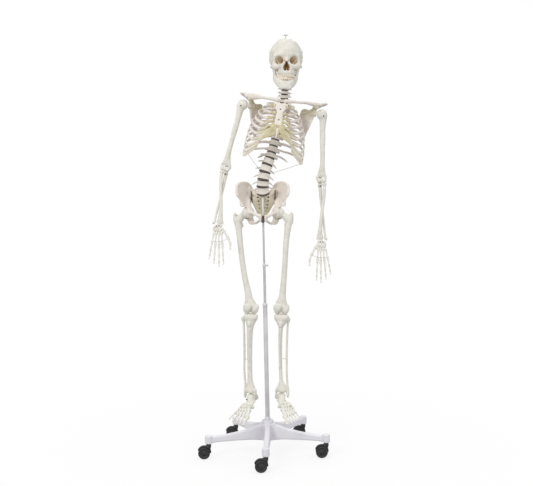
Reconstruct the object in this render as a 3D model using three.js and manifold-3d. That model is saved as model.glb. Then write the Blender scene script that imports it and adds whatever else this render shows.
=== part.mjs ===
// Full-size human skeleton model, pelvis-mounted on a five-leg roller stand.
// Millimetres, +Z up. The skeleton faces -Y, so its left side is towards +X.
// Positions are measured from the stand's pole axis at floor level; the last
// step moves the whole model so that its origin is the centre of its footprint.

import * as THREE from 'three';
import { LoftGeometry } from 'three/addons/geometries/LoftGeometry.js';
import { mergeVertices } from 'three/addons/utils/BufferGeometryUtils.js';
import Module from 'manifold-3d';

const wasm = await Module();
wasm.setup();

// ---------------------------------------------------------------- dimensions

const GAP = 0.5; // clearance between pieces that meet
const DISC_SLACK = 2; // how far a disc's core stays above the vertebra below

// roller stand
const LEG_COUNT = 5;
const FIRST_LEG_ANGLE = THREE.MathUtils.degToRad(-20.3);
const STEM_CIRCLE = 260; // radius of the circle through the caster stems
const LEG_TIP_Z = 78;
const HUB_RADIUS = 25;
const HUB_TOP = 140;
const SOCKET_FLOOR = 12; // thickness left under the pole in the hub
const WHEEL_RADIUS = 25;
const WHEEL_SIDES = 16;
const CASTER_TRAIL = 20; // axle behind the swivel axis, towards -X
const LOWER_POLE = { radius: 9.25, bottom: 62, top: 635 };
const UPPER_POLE = { radius: 5.5, top: 813 };
const ROD = { radius: 4.3, top: 1092 };
const SCREW_Z = 805;

// joint centres of the posed skeleton, right side first where there are two
const SPINE = [
  [3, 8, 1111], [1, 0, 1138.5], [4, -4, 1167], [11, -2, 1199], [22, 4, 1230], [34, 12, 1258],
  [58.6, 32, 1335], [77.5, 36, 1400], [90, 28, 1450],
  [98.6, 12, 1489], [101, 0, 1522.5], [104.5, -3, 1555], [107, 2, 1588], [108, 6, 1606],
];
const LUMBAR_COUNT = 5;
const THORACIC_COUNT = 12;
const FIRST_THORACIC_POINT = 5;
const LAST_THORACIC_POINT = 9;
const THORAX_ORIGIN = [46, 10, 1256];
const THORAX_TILT = THREE.MathUtils.degToRad(10);
const SHOULDER = [[-74, 0, 1488], [257, 0, 1439]];
const ELBOW = [[-156, 0, 1217], [250, 0, 1159]];
const WRIST = [[-191.5, -30, 982], [246, -10, 904]];
const FINGERTIP = [[-188, -60, 806], [237, -30, 728]];
const HIP = [[-67.6, 0, 1029], [67.6, 0, 1026]];
const KNEE = [[-61.5, -5, 618.5], [69, -5, 614]];
const ANKLE = [[-71, 0, 245], [63, 0, 245]];
const LEG_TURN = [-20, -14]; // degrees about Z: both knees turn towards -X
const FOOT_TURN = [-24, 19.5]; // degrees about Z: the feet turn outwards
const FOOT_DROP = 16; // degrees the toes hang below level
const FOOT_LENGTH = 160; // ankle axis to the tip of the second toe
const SHOULDER_PIN_RADIUS = 3;
const HIP_PIN_RADIUS = 3.5;
const SIDE_NAMES = ['right', 'left'];
const SIDE_SIGNS = [-1, 1];

// ------------------------------------------------------------------- helpers

const vec = (x, y, z) => new THREE.Vector3(x, y, z);
const X_AXIS = vec(1, 0, 0);
const Z_AXIS = vec(0, 0, 1);
const FRONT = vec(0, -1, 0);

function toSolid(geometry) {
  const bare = new THREE.BufferGeometry().copy(geometry);
  bare.deleteAttribute('normal');
  bare.deleteAttribute('uv');
  const merged = mergeVertices(bare, 1e-3);
  return new wasm.Manifold(new wasm.Mesh({
    numProp: 3,
    vertProperties: new Float32Array(merged.attributes.position.array),
    triVerts: new Uint32Array(merged.index.array),
  }));
}

function toGeometry(solid) {
  const mesh = solid.getMesh();
  const geometry = new THREE.BufferGeometry();
  geometry.setAttribute('position', new THREE.BufferAttribute(mesh.vertProperties, 3));
  geometry.setIndex(new THREE.BufferAttribute(mesh.triVerts, 1));
  geometry.computeVertexNormals();
  return geometry;
}

const union = (...solids) => solids.flat().reduce((sum, solid) => sum.add(solid));

// A closed tube through stations [x, y, z, halfWidth, halfDepth]; halfWidth lies along `across`.
function tube(stations, sides = 6, across = X_AXIS) {
  const centres = stations.map(([x, y, z]) => vec(x, y, z));
  const sections = centres.map((centre, i) => {
    const before = centres[Math.max(i - 1, 0)];
    const after = centres[Math.min(i + 1, centres.length - 1)];
    const along = after.clone().sub(before).normalize();
    const wide = across.clone().projectOnPlane(along).normalize();
    const deep = along.clone().cross(wide);
    const [halfWidth, halfDepth = halfWidth] = stations[i].slice(3);
    return Array.from({ length: sides }, (_, k) => {
      const angle = ((k + 0.5) * 2 * Math.PI) / sides;
      return centre.clone()
        .addScaledVector(wide, halfWidth * Math.cos(angle))
        .addScaledVector(deep, halfDepth * Math.sin(angle));
    });
  });
  return toSolid(new LoftGeometry(sections, { capStart: true, capEnd: true }));
}

function ball([x, y, z], [rx, ry, rz], around = 8, rings = 6) {
  const sphere = new THREE.SphereGeometry(1, around, rings);
  return toSolid(sphere.rotateX(Math.PI / 2).scale(rx, ry, rz).translate(x, y, z));
}

function block([x, y, z], [width, depth, height]) {
  return toSolid(new THREE.BoxGeometry(width, depth, height).translate(x, y, z));
}

// A cylinder along X, Y or Z.
function drum(axis, [x, y, z], radius, length, sides = 12) {
  const cylinder = new THREE.CylinderGeometry(radius, radius, length, sides);
  cylinder.rotateY(Math.PI / sides);
  if (axis === 'x') cylinder.rotateZ(Math.PI / 2);
  if (axis === 'z') cylinder.rotateX(Math.PI / 2);
  return toSolid(cylinder.translate(x, y, z));
}

// A flat plate: an outline in the XZ plane, extruded along Y.
function plate(outline, yFront, thickness) {
  const shape = new THREE.Shape(outline.map(([x, z]) => new THREE.Vector2(x, z)));
  const extruded = new THREE.ExtrudeGeometry(shape, { depth: thickness, bevelEnabled: false });
  return toSolid(extruded.rotateX(Math.PI / 2).translate(0, yFront + thickness, 0));
}

const bone = () => new THREE.MeshStandardMaterial({ color: 0xe3dfd2, roughness: 0.55, metalness: 0 });
const ribBone = () => new THREE.MeshStandardMaterial({ color: 0xded6c8, roughness: 0.6, metalness: 0 });
const disc = () => new THREE.MeshStandardMaterial({ color: 0x5b524b, roughness: 0.8, metalness: 0 });
const steel = () => new THREE.MeshStandardMaterial({ color: 0xb9bbbd, roughness: 0.3, metalness: 0.9 });
const white = () => new THREE.MeshStandardMaterial({ color: 0xe4e0e8, roughness: 0.4, metalness: 0 });
const black = () => new THREE.MeshStandardMaterial({ color: 0x151515, roughness: 0.45, metalness: 0 });

const model = new THREE.Group();

// A group at `start`, its +Z pointing back from `end` and its -Y looking to `front`.
function boneFrame(parent, start, end, front = FRONT) {
  const group = new THREE.Group();
  const up = start.clone().sub(end).normalize();
  const back = front.clone().negate().projectOnPlane(up).normalize();
  const left = back.clone().cross(up);
  group.quaternion.setFromRotationMatrix(new THREE.Matrix4().makeBasis(left, back, up));
  group.position.copy(start);
  model.add(group);
  parent.attach(group);
  return group;
}

function addPart(parent, name, solid, material) {
  const mesh = new THREE.Mesh(toGeometry(solid), material);
  mesh.name = name;
  parent.add(mesh);
  return mesh;
}

// The direction that faces -Y after a turn about Z.
const turnedFront = (degrees) => FRONT.clone().applyAxisAngle(Z_AXIS, THREE.MathUtils.degToRad(degrees));

// --------------------------------------------------------------------- stand

function starBase() {
  const legs = Array.from({ length: LEG_COUNT }, (_, k) => {
    const leg = union(
      tube([
        [0, 0, 98, 17, 36], [60, 0, 93, 15, 30], [150, 0, 84, 12, 18],
        [STEM_CIRCLE, 0, LEG_TIP_Z, 10, 11],
      ], 6, vec(0, 1, 0)),
      drum('z', [STEM_CIRCLE, 0, LEG_TIP_Z], 13, 28, 8),
    );
    return leg.rotate([0, 0, THREE.MathUtils.radToDeg(legAngle(k))]);
  });
  const hub = new THREE.LatheGeometry([
    [0, LOWER_POLE.bottom], [30, LOWER_POLE.bottom], [31, 100], [HUB_RADIUS + 3, 128],
    [HUB_RADIUS, 130], [HUB_RADIUS, HUB_TOP], [0, HUB_TOP],
  ].map(([r, z]) => new THREE.Vector2(r, z)), 12).rotateX(Math.PI / 2);
  const socketDepth = HUB_TOP - LOWER_POLE.bottom - SOCKET_FLOOR;
  const poleSocket = drum('z', [0, 0, HUB_TOP], LOWER_POLE.radius + GAP, 2 * socketDepth, 12);
  const stemSockets = Array.from({ length: LEG_COUNT }, (_, k) => {
    const [x, y] = stemPlace(k);
    return drum('z', [x, y, LEG_TIP_Z - 6], 6.5, 24, 8);
  });
  return union(toSolid(hub), legs).subtract(union(poleSocket, stemSockets));
}

const legAngle = (k) => FIRST_LEG_ANGLE + (k * 2 * Math.PI) / LEG_COUNT;
const stemPlace = (k) => [STEM_CIRCLE * Math.cos(legAngle(k)), STEM_CIRCLE * Math.sin(legAngle(k))];

// The hood: a stem, a plate between the wheels and a curved guard over them.
function casterHood() {
  const axle = [-CASTER_TRAIL, 0, WHEEL_RADIUS];
  const guardArc = (radius, steps, from, to) => Array.from({ length: steps + 1 }, (_, i) => {
    const angle = Math.PI * (from + ((to - from) * i) / steps);
    return [axle[0] + radius * Math.cos(angle), axle[2] + radius * Math.sin(angle)];
  });
  const guard = plate([...guardArc(31, 4, 0.15, 0.85), ...guardArc(28, 4, 0.85, 0.15)], -20, 40);
  const web = plate(guardArc(29, 6, -0.15, 1.05), -3, 6);
  const neckTop = LEG_TIP_Z - 15;
  const neck = plate([[-12, 53], [0, 45], [9, 38], [9, neckTop], [-12, neckTop]], -9, 18);
  const stem = drum('z', [0, 0, LEG_TIP_Z - 6], 5.5, 22, 8);
  return union(guard, web, neck, stem).subtract(drum('y', axle, 4, 10, 8));
}

// Two wheels on their axle, drawn about the axle's middle; one flat of each rim faces down.
function casterWheels() {
  const rim = WHEEL_RADIUS / Math.cos(Math.PI / WHEEL_SIDES);
  const wheels = [-1, 1].map((side) => drum('y', [0, side * 11.5, 0], rim, 14, WHEEL_SIDES));
  return union(wheels, drum('y', [0, 0, 0], 3.2, 20, 8));
}

// A round bar on the pole axis.
const upright = (radius, bottom, top) => drum('z', [0, 0, (bottom + top) / 2], radius, top - bottom, 12);

function buildStand() {
  addPart(model, 'base_star', starBase(), white());
  const lower = upright(LOWER_POLE.radius, LOWER_POLE.bottom + 20, LOWER_POLE.top);
  const upper = upright(UPPER_POLE.radius, LOWER_POLE.top - 6, UPPER_POLE.top);
  const rodBore = drum('z', [0, 0, UPPER_POLE.top - 20], ROD.radius + GAP, 82, 12);
  const screwHole = drum('x', [6, 0, SCREW_Z], 2.2, 12, 8);
  addPart(model, 'stand_pole', union(lower, upper).subtract(union(rodBore, screwHole)), steel());
  addPart(model, 'support_rod', upright(ROD.radius, UPPER_POLE.top - 60, ROD.top), steel());
  const screw = union(drum('x', [9, 0, SCREW_Z], 1.7, 8, 8), drum('x', [14.5, 0, SCREW_Z], 5, 5, 10));
  addPart(model, 'thumb_screw', screw, black());
  for (let k = 0; k < LEG_COUNT; k += 1) {
    const swivel = new THREE.Group();
    swivel.position.set(...stemPlace(k), 0);
    model.add(swivel);
    addPart(swivel, `caster_hood_${k + 1}`, casterHood(), black());
    const axle = new THREE.Group();
    axle.position.set(-CASTER_TRAIL, 0, WHEEL_RADIUS);
    swivel.add(axle);
    addPart(axle, `caster_wheels_${k + 1}`, casterWheels(), black());
  }
}

// -------------------------------------------------------------------- pelvis

// The sacrum: a curved wedge with two wings, bored from below for the support rod.
function sacrum() {
  const body = tube([
    [3, 18, 1107, 26, 19], [3, 21, 1095, 40, 18], [1, 30, 1075, 33, 13], [0, 41, 1052, 24, 10],
    [-1, 45, 1035, 13, 7], [-1, 42, 1017, 5, 5],
  ], 8);
  const wings = SIDE_SIGNS.map((side) => tube([
    [3 + side * 14, 20, 1095, 10, 14], [3 + side * 40, 24, 1110, 12, 16],
  ], 6, FRONT));
  const crest = plate([[-3, 1095], [-3, 1050], [3, 1050], [3, 1100]], 30, 22);
  const rodSocket = drum('z', [0, 0, ROD.top - 40], ROD.radius + 1.2, 84, 12);
  return union(body, wings, crest).subtract(rodSocket);
}

// A hip bone about the centre of its hip joint; `side` is +1 on the left.
function hipBone(side) {
  const s = (stations) => stations.map(([x, y, z, ...half]) => [x * side, y, z, ...half]);
  const wing = [
    { z: 8, front: [2, -14], back: [-4, 26], thick: 15 },
    { z: 45, front: [20, -22], back: [-6, 38], thick: 9 },
    { z: 82, front: [44, -42], back: [-9, 60], thick: 5 },
    { z: 116, front: [42, -24], back: [-9, 62], thick: 5 },
    { z: 137, front: [22, 0], back: [2, 42], thick: 4 },
  ].map(({ z, front, back, thick }) => {
    const from = vec(front[0] * side, front[1], z);
    const to = vec(back[0] * side, back[1], z);
    const middle = from.clone().add(to).multiplyScalar(0.5);
    const half = to.clone().sub(from).multiplyScalar(0.5);
    const normal = half.clone().cross(Z_AXIS).normalize();
    return Array.from({ length: 8 }, (_, k) => {
      const angle = ((k + 0.5) * Math.PI) / 4;
      return middle.clone()
        .addScaledVector(half, Math.cos(angle) * 1.06)
        .addScaledVector(normal, -Math.sin(angle) * thick);
    });
  });
  const ilium = toSolid(new LoftGeometry(wing, { capStart: true, capEnd: true }));
  const socketBlock = ball([-4 * side, 2, 0], [31, 30, 31], 8, 6);
  const pubis = tube(s([[-14, -16, 4, 9, 10], [-38, -42, -8, 7, 8], [-61, -50, -20, 5, 16]]), 6, Z_AXIS);
  const ischium = tube(s([[-10, 16, -12, 13, 12], [-14, 24, -38, 13, 12], [-20, 18, -48, 11, 10]]), 6);
  const ramus = tube(s([[-20, 14, -46, 7, 9], [-40, -18, -46, 5, 8], [-59, -46, -28, 5, 8]]), 6, Z_AXIS);
  const socket = ball([0, 0, 0], [27, 27, 27], 8, 6);
  const opening = block([side * 34, 0, -6], [52, 56, 56]);
  return union(ilium, socketBlock, pubis, ischium, ramus).subtract(union(socket, opening));
}

function buildPelvis() {
  addPart(model, 'sacrum', sacrum(), bone());
  HIP.forEach((centre, i) => {
    const group = new THREE.Group();
    group.position.set(...centre);
    model.add(group);
    addPart(group, `hip_bone_${SIDE_NAMES[i]}`, hipBone(SIDE_SIGNS[i]), bone());
  });
  const symphysis = tube([[-0.5, -50, 1022, 3.6, 6], [-0.5, -50, 992, 3.6, 6]], 8);
  addPart(model, 'pubic_symphysis', symphysis, disc());
}

// --------------------------------------------------------------------- spine

const spineCurve = new THREE.CatmullRomCurve3(SPINE.map((place) => vec(...place)), false, 'centripetal');
const spinePoint = (index) => spineCurve.getPoint(index / (SPINE.length - 1));

// Disc centres of the thoracic stretch, from the bottom of T12 to the top of T1.
const thoracicPoints = Array.from({ length: THORACIC_COUNT + 1 }, (_, k) => spinePoint(
  FIRST_THORACIC_POINT + ((LAST_THORACIC_POINT - FIRST_THORACIC_POINT) * k) / THORACIC_COUNT,
));

// One vertebra above its disc: body, disc core, arch, spinous and transverse processes.
function vertebra({ height, halfWidth, halfDepth, space, spine, spread, core = 6.5 }) {
  const top = height - space / 2;
  const bottom = space / 2;
  const body = tube([[0, 0, bottom, halfWidth, halfDepth], [0, 0, top, halfWidth, halfDepth]], 8);
  const discCore = drum('z', [0, 0, DISC_SLACK], core, space, 6);
  const pedicle = halfWidth * 0.62;
  const arch = tube([
    [-pedicle, halfDepth * 0.6, top - 6, 3.5, 3.5], [-pedicle, halfDepth + 10, top - 7, 4, 3.5],
    [0, halfDepth + 20, height / 2, 5, 3.5],
    [pedicle, halfDepth + 10, top - 7, 4, 3.5], [pedicle, halfDepth * 0.6, top - 6, 3.5, 3.5],
  ], 4, Z_AXIS);
  const process = tube([
    [0, halfDepth + 17, height / 2, 2.5, height * 0.22], [0, spine, height / 2 - 4, 3, height * 0.24],
  ], 4);
  const wing = tube([
    [-spread, halfDepth + 8, top - 6, 2.5, 3], [0, halfDepth + 15, top - 8, 4, 4],
    [spread, halfDepth + 8, top - 6, 2.5, 3],
  ], 4, Z_AXIS);
  return union(body, discCore, arch, process, wing);
}

function lumbarDimensions(k) {
  return {
    height: spinePoint(k).distanceTo(spinePoint(k + 1)),
    halfWidth: 24 - 0.6 * k,
    halfDepth: 16,
    space: 7.6,
    spine: 56,
    spread: 38 - 2 * Math.abs(k - 2),
  };
}

// Half the width of a thoracic vertebra's body; level 0 is the lowest, T12.
const columnHalf = (level) => 21 - 0.75 * level;

// The thoracic column: bodies and discs as one stepped tube, spinous processes, two floating rib pairs.
function thoracicColumn(toLocal) {
  const points = thoracicPoints.map(toLocal);
  const stations = [];
  for (let level = 0; level < THORACIC_COUNT; level += 1) {
    const half = columnHalf(level);
    const [low, high] = [points[level], points[level + 1]];
    stations.push([...low.clone().lerp(high, level === 0 ? 0.19 : 0.14), half, half * 0.78]);
    stations.push([...low.clone().lerp(high, 0.86), half, half * 0.78]);
  }
  const column = tube(stations, 6);
  const processes = Array.from({ length: THORACIC_COUNT }, (_, level) => {
    const middle = points[level].clone().lerp(points[level + 1], 0.5);
    const lean = 22 - 3.5 * Math.abs(level - 5);
    return tube([
      [middle.x, middle.y + 8, middle.z + 1, 6, 5], [middle.x, middle.y + 44, middle.z - lean, 2.5, 4],
    ], 4);
  });
  const core = drum('z', [points[0].x, points[0].y, points[0].z + 3], 6.5, 8, 6);
  const floating = [0, 1].flatMap((k) => (
    SIDE_SIGNS.map((side) => floatingRib(points[k], points[k + 1], side, k))
  ));
  return union(column, core, processes, floating);
}

function floatingRib(low, high, side, k) {
  const head = low.clone().lerp(high, 0.6);
  const reach = k === 0 ? 78 : 104;
  return tube([
    [head.x + side * 12, head.y + 8, head.z, 5, 3.5],
    [head.x + side * 42, head.y + 26, head.z - 8, 5, 3],
    [side * reach * 0.86, head.y + 12, head.z - 26, 5.5, 3],
    [side * reach, head.y - 16, head.z - 38 - 6 * k, 3.5, 2.5],
  ], 4, Z_AXIS);
}

// ------------------------------------------------------------------ rib cage

const RIB_COUNT = 10;
const WIDEST_RIB = 8;
// where each rib's bone ends, in degrees round the cage from the spine, and its cartilage begins
const RIB_ENDS = [150, 150, 147, 143, 138, 133, 128, 120, 112, 103];
const LAST_TRUE_RIB = 7; // the lowest rib that reaches the breastbone itself
const STERNUM_HEIGHTS = [212, 184, 169, 155, 143, 134, 128]; // of the seven rib notches

// The shape of rib `n`, counted from the top, in the thorax frame.
function ribShape(n, toLocal) {
  const top = THORACIC_COUNT + 1 - n;
  const root = toLocal(thoracicPoints[top].clone().lerp(thoracicPoints[top - 1], 0.35));
  const fall = (WIDEST_RIB - n) ** 2;
  return {
    root,
    halfWidth: 124 - 1.35 * fall,
    drop: 72 - 1.02 * fall,
    back: root.y + 24,
    front: n < 6 ? -70 - 9 * (n - 1) : -107,
    end: THREE.MathUtils.degToRad(RIB_ENDS[n - 1]),
  };
}

// A point on the rib, `angle` round from the spine.
function ribPoint(shape, angle, side) {
  const middle = (shape.back + shape.front) / 2;
  const depth = (shape.back - shape.front) / 2;
  const blend = Math.sin(Math.min(angle, Math.PI / 2));
  const x = side * shape.halfWidth * Math.sin(angle) + shape.root.x * (1 - blend);
  const fall = (shape.drop * (1 - Math.cos(angle))) / 1.7;
  return vec(x, middle + depth * Math.cos(angle), shape.root.z - fall);
}

function sternumSpot(n) {
  const notch = Math.min(n, LAST_TRUE_RIB);
  return vec(0, -72 - 5 * notch, STERNUM_HEIGHTS[notch - 1]);
}

// One rib with its costal cartilage: to the breastbone, or to the cartilage above from rib 8 down.
function rib(n, side, toLocal) {
  const shape = ribShape(n, toLocal);
  const steps = 5;
  const start = 0.22;
  const points = [shape.root.clone().add(vec(side * (columnHalf(THORACIC_COUNT - n) + 3), 7, 0))];
  for (let i = 0; i <= steps; i += 1) {
    points.push(ribPoint(shape, start + ((shape.end - start) * i) / steps, side));
  }
  points.push(cartilageBend(n, side, toLocal));
  const onSternum = sternumSpot(n).add(vec(side * 6, 0, 0));
  points.push(n <= LAST_TRUE_RIB ? onSternum : cartilageBend(n - 1, side, toLocal));
  return tube(points.map((point) => [...point, 6, 3.5]), 4, Z_AXIS);
}

function cartilageBend(n, side, toLocal) {
  const shape = ribShape(n, toLocal);
  const start = ribPoint(shape, shape.end, side);
  const goal = sternumSpot(n);
  const share = n < 5 ? 0.5 : 0.42;
  const bend = start.clone().lerp(goal, share);
  bend.y = Math.min(bend.y, start.y - 6) - 6;
  bend.x = start.x * 0.62;
  bend.z -= n >= 5 ? 8 : 0;
  return bend;
}

function ribCage(toLocal) {
  const sternum = tube([
    [0, -70, 227, 24, 6], [0, -76, 208, 20, 6], [0, -82, 186, 12, 5], [0, -93, 158, 15, 5],
    [0, -104, 128, 17, 5], [0, -106, 120, 8, 3.5], [0, -103, 104, 5, 3],
  ], 6);
  const ribs = SIDE_SIGNS.flatMap((side) => (
    Array.from({ length: RIB_COUNT }, (_, k) => rib(k + 1, side, toLocal))
  ));
  return union(sternum, ribs);
}

// A shoulder blade about the centre of the shoulder joint, in the thorax frame.
function scapula(side) {
  const mirror = (points) => points.map(([x, y, z, ...half]) => [x * side, y, z, ...half]);
  const blade = tube(mirror([
    [-36, 8, -4, 12, 7], [-60, 38, -20, 48, 3], [-86, 60, -44, 70, 2.5],
  ]), 6, Z_AXIS);
  const ridge = tube(mirror([
    [-86, 62, -8, 4, 4], [-50, 46, 6, 5, 9], [-16, 34, 26, 5, 8], [6, 14, 39, 4, 9], [2, -6, 39, 4, 8],
  ]), 6, Z_AXIS);
  const socket = tube(mirror([[-40, 10, -3, 13, 9], [-27, 2, 0, 17, 12]]), 8, Z_AXIS);
  const coracoid = tube(mirror([[-38, 8, 8, 6, 6], [-36, -10, 20, 5, 6], [-22, -26, 16, 5, 5]]), 6);
  const cup = ball([0, 0, 0], [27, 27, 27], 10, 6);
  return union(blade, ridge, socket, coracoid).subtract(cup);
}

function clavicle(inner, outer, side) {
  const across = outer.clone().sub(inner);
  const at = (share, forward, rise, wide, deep) => [
    ...inner.clone().addScaledVector(across, share).add(vec(0, -forward, rise)), wide, deep,
  ];
  return tube([
    at(0, 0, 0, 9, 9), at(0.28, 14, 0, 5.5, 5.5), at(0.62, 2, 3, 5.5, 5.5), at(1, 0, 0, 9, 5),
  ], 6, FRONT);
}

function buildThorax() {
  const thorax = new THREE.Group();
  thorax.position.set(...THORAX_ORIGIN);
  thorax.rotation.y = THORAX_TILT;
  model.add(thorax);
  thorax.updateMatrixWorld();
  const toLocal = (point) => thorax.worldToLocal(point.clone());
  addPart(thorax, 'thoracic_spine', thoracicColumn(toLocal), bone());
  addPart(thorax, 'rib_cage', ribCage(toLocal), ribBone());
  SHOULDER.forEach((centre, i) => {
    const side = SIDE_SIGNS[i];
    const shoulder = toLocal(vec(...centre));
    const group = new THREE.Group();
    group.position.copy(shoulder);
    thorax.add(group);
    addPart(group, `scapula_${SIDE_NAMES[i]}`, scapula(side), ribBone());
    const inner = vec(side * 17, -66, 238);
    const outer = shoulder.clone().add(vec(-side * 10, -13, 37));
    addPart(thorax, `clavicle_${SIDE_NAMES[i]}`, clavicle(inner, outer, side), ribBone());
  });
}

// A frame at the lower disc centre, its +Z towards the upper one.
const spineFrame = (low, high) => boneFrame(model, low, low.clone().multiplyScalar(2).sub(high));

function buildLumbar() {
  for (let k = 0; k < LUMBAR_COUNT; k += 1) {
    const group = spineFrame(spinePoint(k), spinePoint(k + 1));
    addPart(group, `vertebra_L${LUMBAR_COUNT - k}`, vertebra(lumbarDimensions(k)), bone());
  }
}

// Two neck vertebrae: one waisted column of bodies, and an arch with a spinous process on each.
function neckPair(height, spine) {
  const column = tube([
    [0, 0, 2, 13, 8], [0, 0, height - 2, 13, 8], [0, 0, height, 8, 6], [0, 0, height + 2, 13, 8],
    [0, 0, 2 * height - 2, 13, 8],
  ], 6);
  const core = drum('z', [0, 0, 1.2], 4, 3.4, 6);
  const arches = [0.5, 1.5].map((level) => union(
    tube([
      [-24, 9, level * height, 3, 5], [0, 18, level * height, 4, 6], [24, 9, level * height, 3, 5],
    ], 4, Z_AXIS),
    tube([[0, 6, level * height, 4, 4], [0, spine, level * height - 4, 3, 2.5]], 4),
  ));
  return union(column, core, arches);
}

// The neck: three pairs of vertebrae and the ring-shaped atlas under the skull.
function buildNeck() {
  const names = ['neck_lower', 'neck_middle', 'neck_upper'];
  names.forEach((name, k) => {
    const from = LAST_THORACIC_POINT + k;
    const [low, high] = [spinePoint(from), spinePoint(from + 1)];
    const group = spineFrame(low, high);
    const height = low.distanceTo(high) / 2;
    addPart(group, name, neckPair(height, 40 - 4 * k), bone());
  });
  const top = SPINE.length - 1;
  const [low, high] = [spinePoint(top - 1), spinePoint(top)];
  const group = spineFrame(low, high);
  const ring = drum('z', [0, 6, 9], 22, 10, 10).subtract(drum('z', [0, 8, 9], 12, 20, 8));
  const masses = SIDE_SIGNS.map((side) => block([side * 17, 2, 9], [16, 15, 13]));
  addPart(group, 'atlas', union(ring, masses), bone());
}

// --------------------------------------------------------------------- skull

// Skull dimensions about the joint with the atlas.
const VAULT = { centre: [3, 0, 78], half: [71, 93, 69], wall: 6, cutZ: 92 };
const JAW_HINGE = [0, -14, 26];

function skullSolids() {
  const shell = ball(VAULT.centre, VAULT.half, 16, 10);
  const hollow = ball(VAULT.centre, VAULT.half.map((half) => half - VAULT.wall), 12, 8);
  const face = tube([
    [1, -60, 84, 46, 30], [0, -66, 64, 54, 26], [0, -62, 40, 58, 24], [-1, -64, 22, 40, 24],
    [-2, -66, 0, 28, 20], [-2, -66, -16, 25, 18],
  ], 8);
  const arches = SIDE_SIGNS.map((side) => tube([
    [side * 52, -62, 38, 8, 5], [side * 65, -40, 34, 6, 4], [side * 66, -14, 36, 6, 4],
  ], 5, Z_AXIS));
  const base = ball([2, 14, 24], [44, 52, 20], 10, 6);
  const mastoids = SIDE_SIGNS.map((side) => tube([
    [side * 50, 20, 34, 11, 14], [side * 50, 17, 4, 6, 7],
  ], 6));
  const orbits = SIDE_SIGNS.map((side) => tube([
    [side * 27 + 1, -98, 44, 20, 18], [side * 18 + 1, -50, 44, 6, 6],
  ], 8));
  const nose = tube([[-1, -98, 17, 11, 20], [-1, -52, 17, 8, 15]], 6);
  const palate = block([-2, -52, -10], [34, 46, 16]);
  const foramen = drum('z', [2, 12, 16], 15, 70, 10);
  const belowCut = block([0, 0, VAULT.cutZ - 200 - GAP / 2], [400, 400, 400]);
  const aboveCut = block([0, 0, VAULT.cutZ + 200 + GAP / 2], [400, 400, 400]);
  const vault = union(shell, face, arches, base, mastoids);
  const cuts = union(hollow, orbits, nose, palate, foramen);
  return {
    cranium: vault.intersect(belowCut).subtract(cuts),
    cap: shell.intersect(aboveCut).subtract(hollow),
  };
}

// The lower jaw, drawn in the skull's frame.
function mandible() {
  const body = tube([
    [-50, -24, -14, 15, 5], [-44, -48, -26, 14, 6], [-24, -76, -46, 14, 6], [0, -84, -54, 15, 6],
    [20, -76, -46, 14, 6], [40, -48, -26, 14, 6], [46, -24, -14, 15, 5],
  ], 6, Z_AXIS);
  const rami = SIDE_SIGNS.map((side) => tube([
    [side * 48 - 2, -26, -16, 5, 14], [side * 50 - 1, -18, 8, 4, 12], [side * 51, -14, 22, 6, 5],
  ], 6));
  const teeth = tube([
    [-24, -58, -30, 4, 5], [-18, -76, -30, 4, 5], [-2, -85, -30, 4, 5], [14, -76, -30, 4, 5],
    [20, -58, -30, 4, 5],
  ], 4, Z_AXIS);
  return union(body, rami, teeth);
}

function buildSkull() {
  const skull = new THREE.Group();
  skull.position.set(...SPINE[SPINE.length - 1]);
  model.add(skull);
  const { cranium, cap } = skullSolids();
  const crown = VAULT.centre[2] + VAULT.half[2];
  const seat = drum('z', [VAULT.centre[0], 0, crown + 1], 2, 30, 8);
  addPart(skull, 'cranium', cranium, bone());
  addPart(skull, 'skull_cap', cap.subtract(seat), bone());
  const jaw = new THREE.Group();
  jaw.position.set(...JAW_HINGE);
  skull.add(jaw);
  addPart(jaw, 'mandible', mandible().translate(JAW_HINGE.map((value) => -value)), bone());
  const ring = new THREE.TorusGeometry(7, 1.6, 6, 12).rotateX(Math.PI / 2);
  const eye = union(
    toSolid(ring.translate(VAULT.centre[0], 0, crown + 14)),
    drum('z', [VAULT.centre[0], 0, crown - 1], 1.5, 18, 8),
  );
  addPart(skull, 'hanger_eye', eye, steel());
}

// ---------------------------------------------------------------------- arms

function humerus(length, side) {
  const s = (stations) => stations.map(([x, y, z, ...half]) => [x * side, y, z, ...half]);
  const head = ball([0, 0, 0], [23.5, 23.5, 23.5], 8, 6);
  const shaft = tube(s([
    [10, 0, 10, 13, 14], [11, 0, -14, 16, 15], [10, 0, -50, 12, 12], [7, 0, -length * 0.5, 10, 10],
    [3, 0, -length * 0.8, 12, 9], [0, 0, -length + 20, 25, 8],
  ]), 8);
  const hinge = drum('x', [0, 0, -length], 10.5, 44, 8);
  const flare = tube([[0, 0, -length + 24, 22, 8], [0, 0, -length + 4, 29, 7]], 6);
  return union(head, shaft, flare, hinge);
}

function boredHead(solid, side, radius) {
  return solid.subtract(drum('x', [-side * 8, 0, 0], radius + GAP, 44, 10));
}

// The pin that carries a ball joint: across the ball's middle, standing out towards the socket.
const ballPin = (side, radius) => drum('x', [-side * 5, 0, 0], radius, 36, 8);

// The ulna hooks round the humerus hinge; both forearm bones cross because the palm faces back.
function ulna(length, side) {
  const s = (stations) => stations.map(([x, y, z, ...half]) => [x * side, y, z, ...half]);
  const hook = union(
    drum('x', [-side * 10, 4, 1], 22, 20, 10),
    tube(s([[-10, 8, -6, 10, 13], [-6, 6, -40, 7, 8]]), 6),
  ).subtract(union(
    drum('x', [0, 0, 0], 14.8, 60, 10),
    block([0, -24, 0], [70, 40, 32]),
    block([0, -15, 24], [70, 54, 32]),
  ));
  const shaft = tube(s([
    [-7, 7, -24, 7, 9], [-2, 6, -length * 0.35, 6, 6], [8, 4, -length * 0.7, 5, 5],
    [16, 2, -length + 8, 6.5, 6],
  ]), 6);
  return union(hook, shaft);
}

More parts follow.
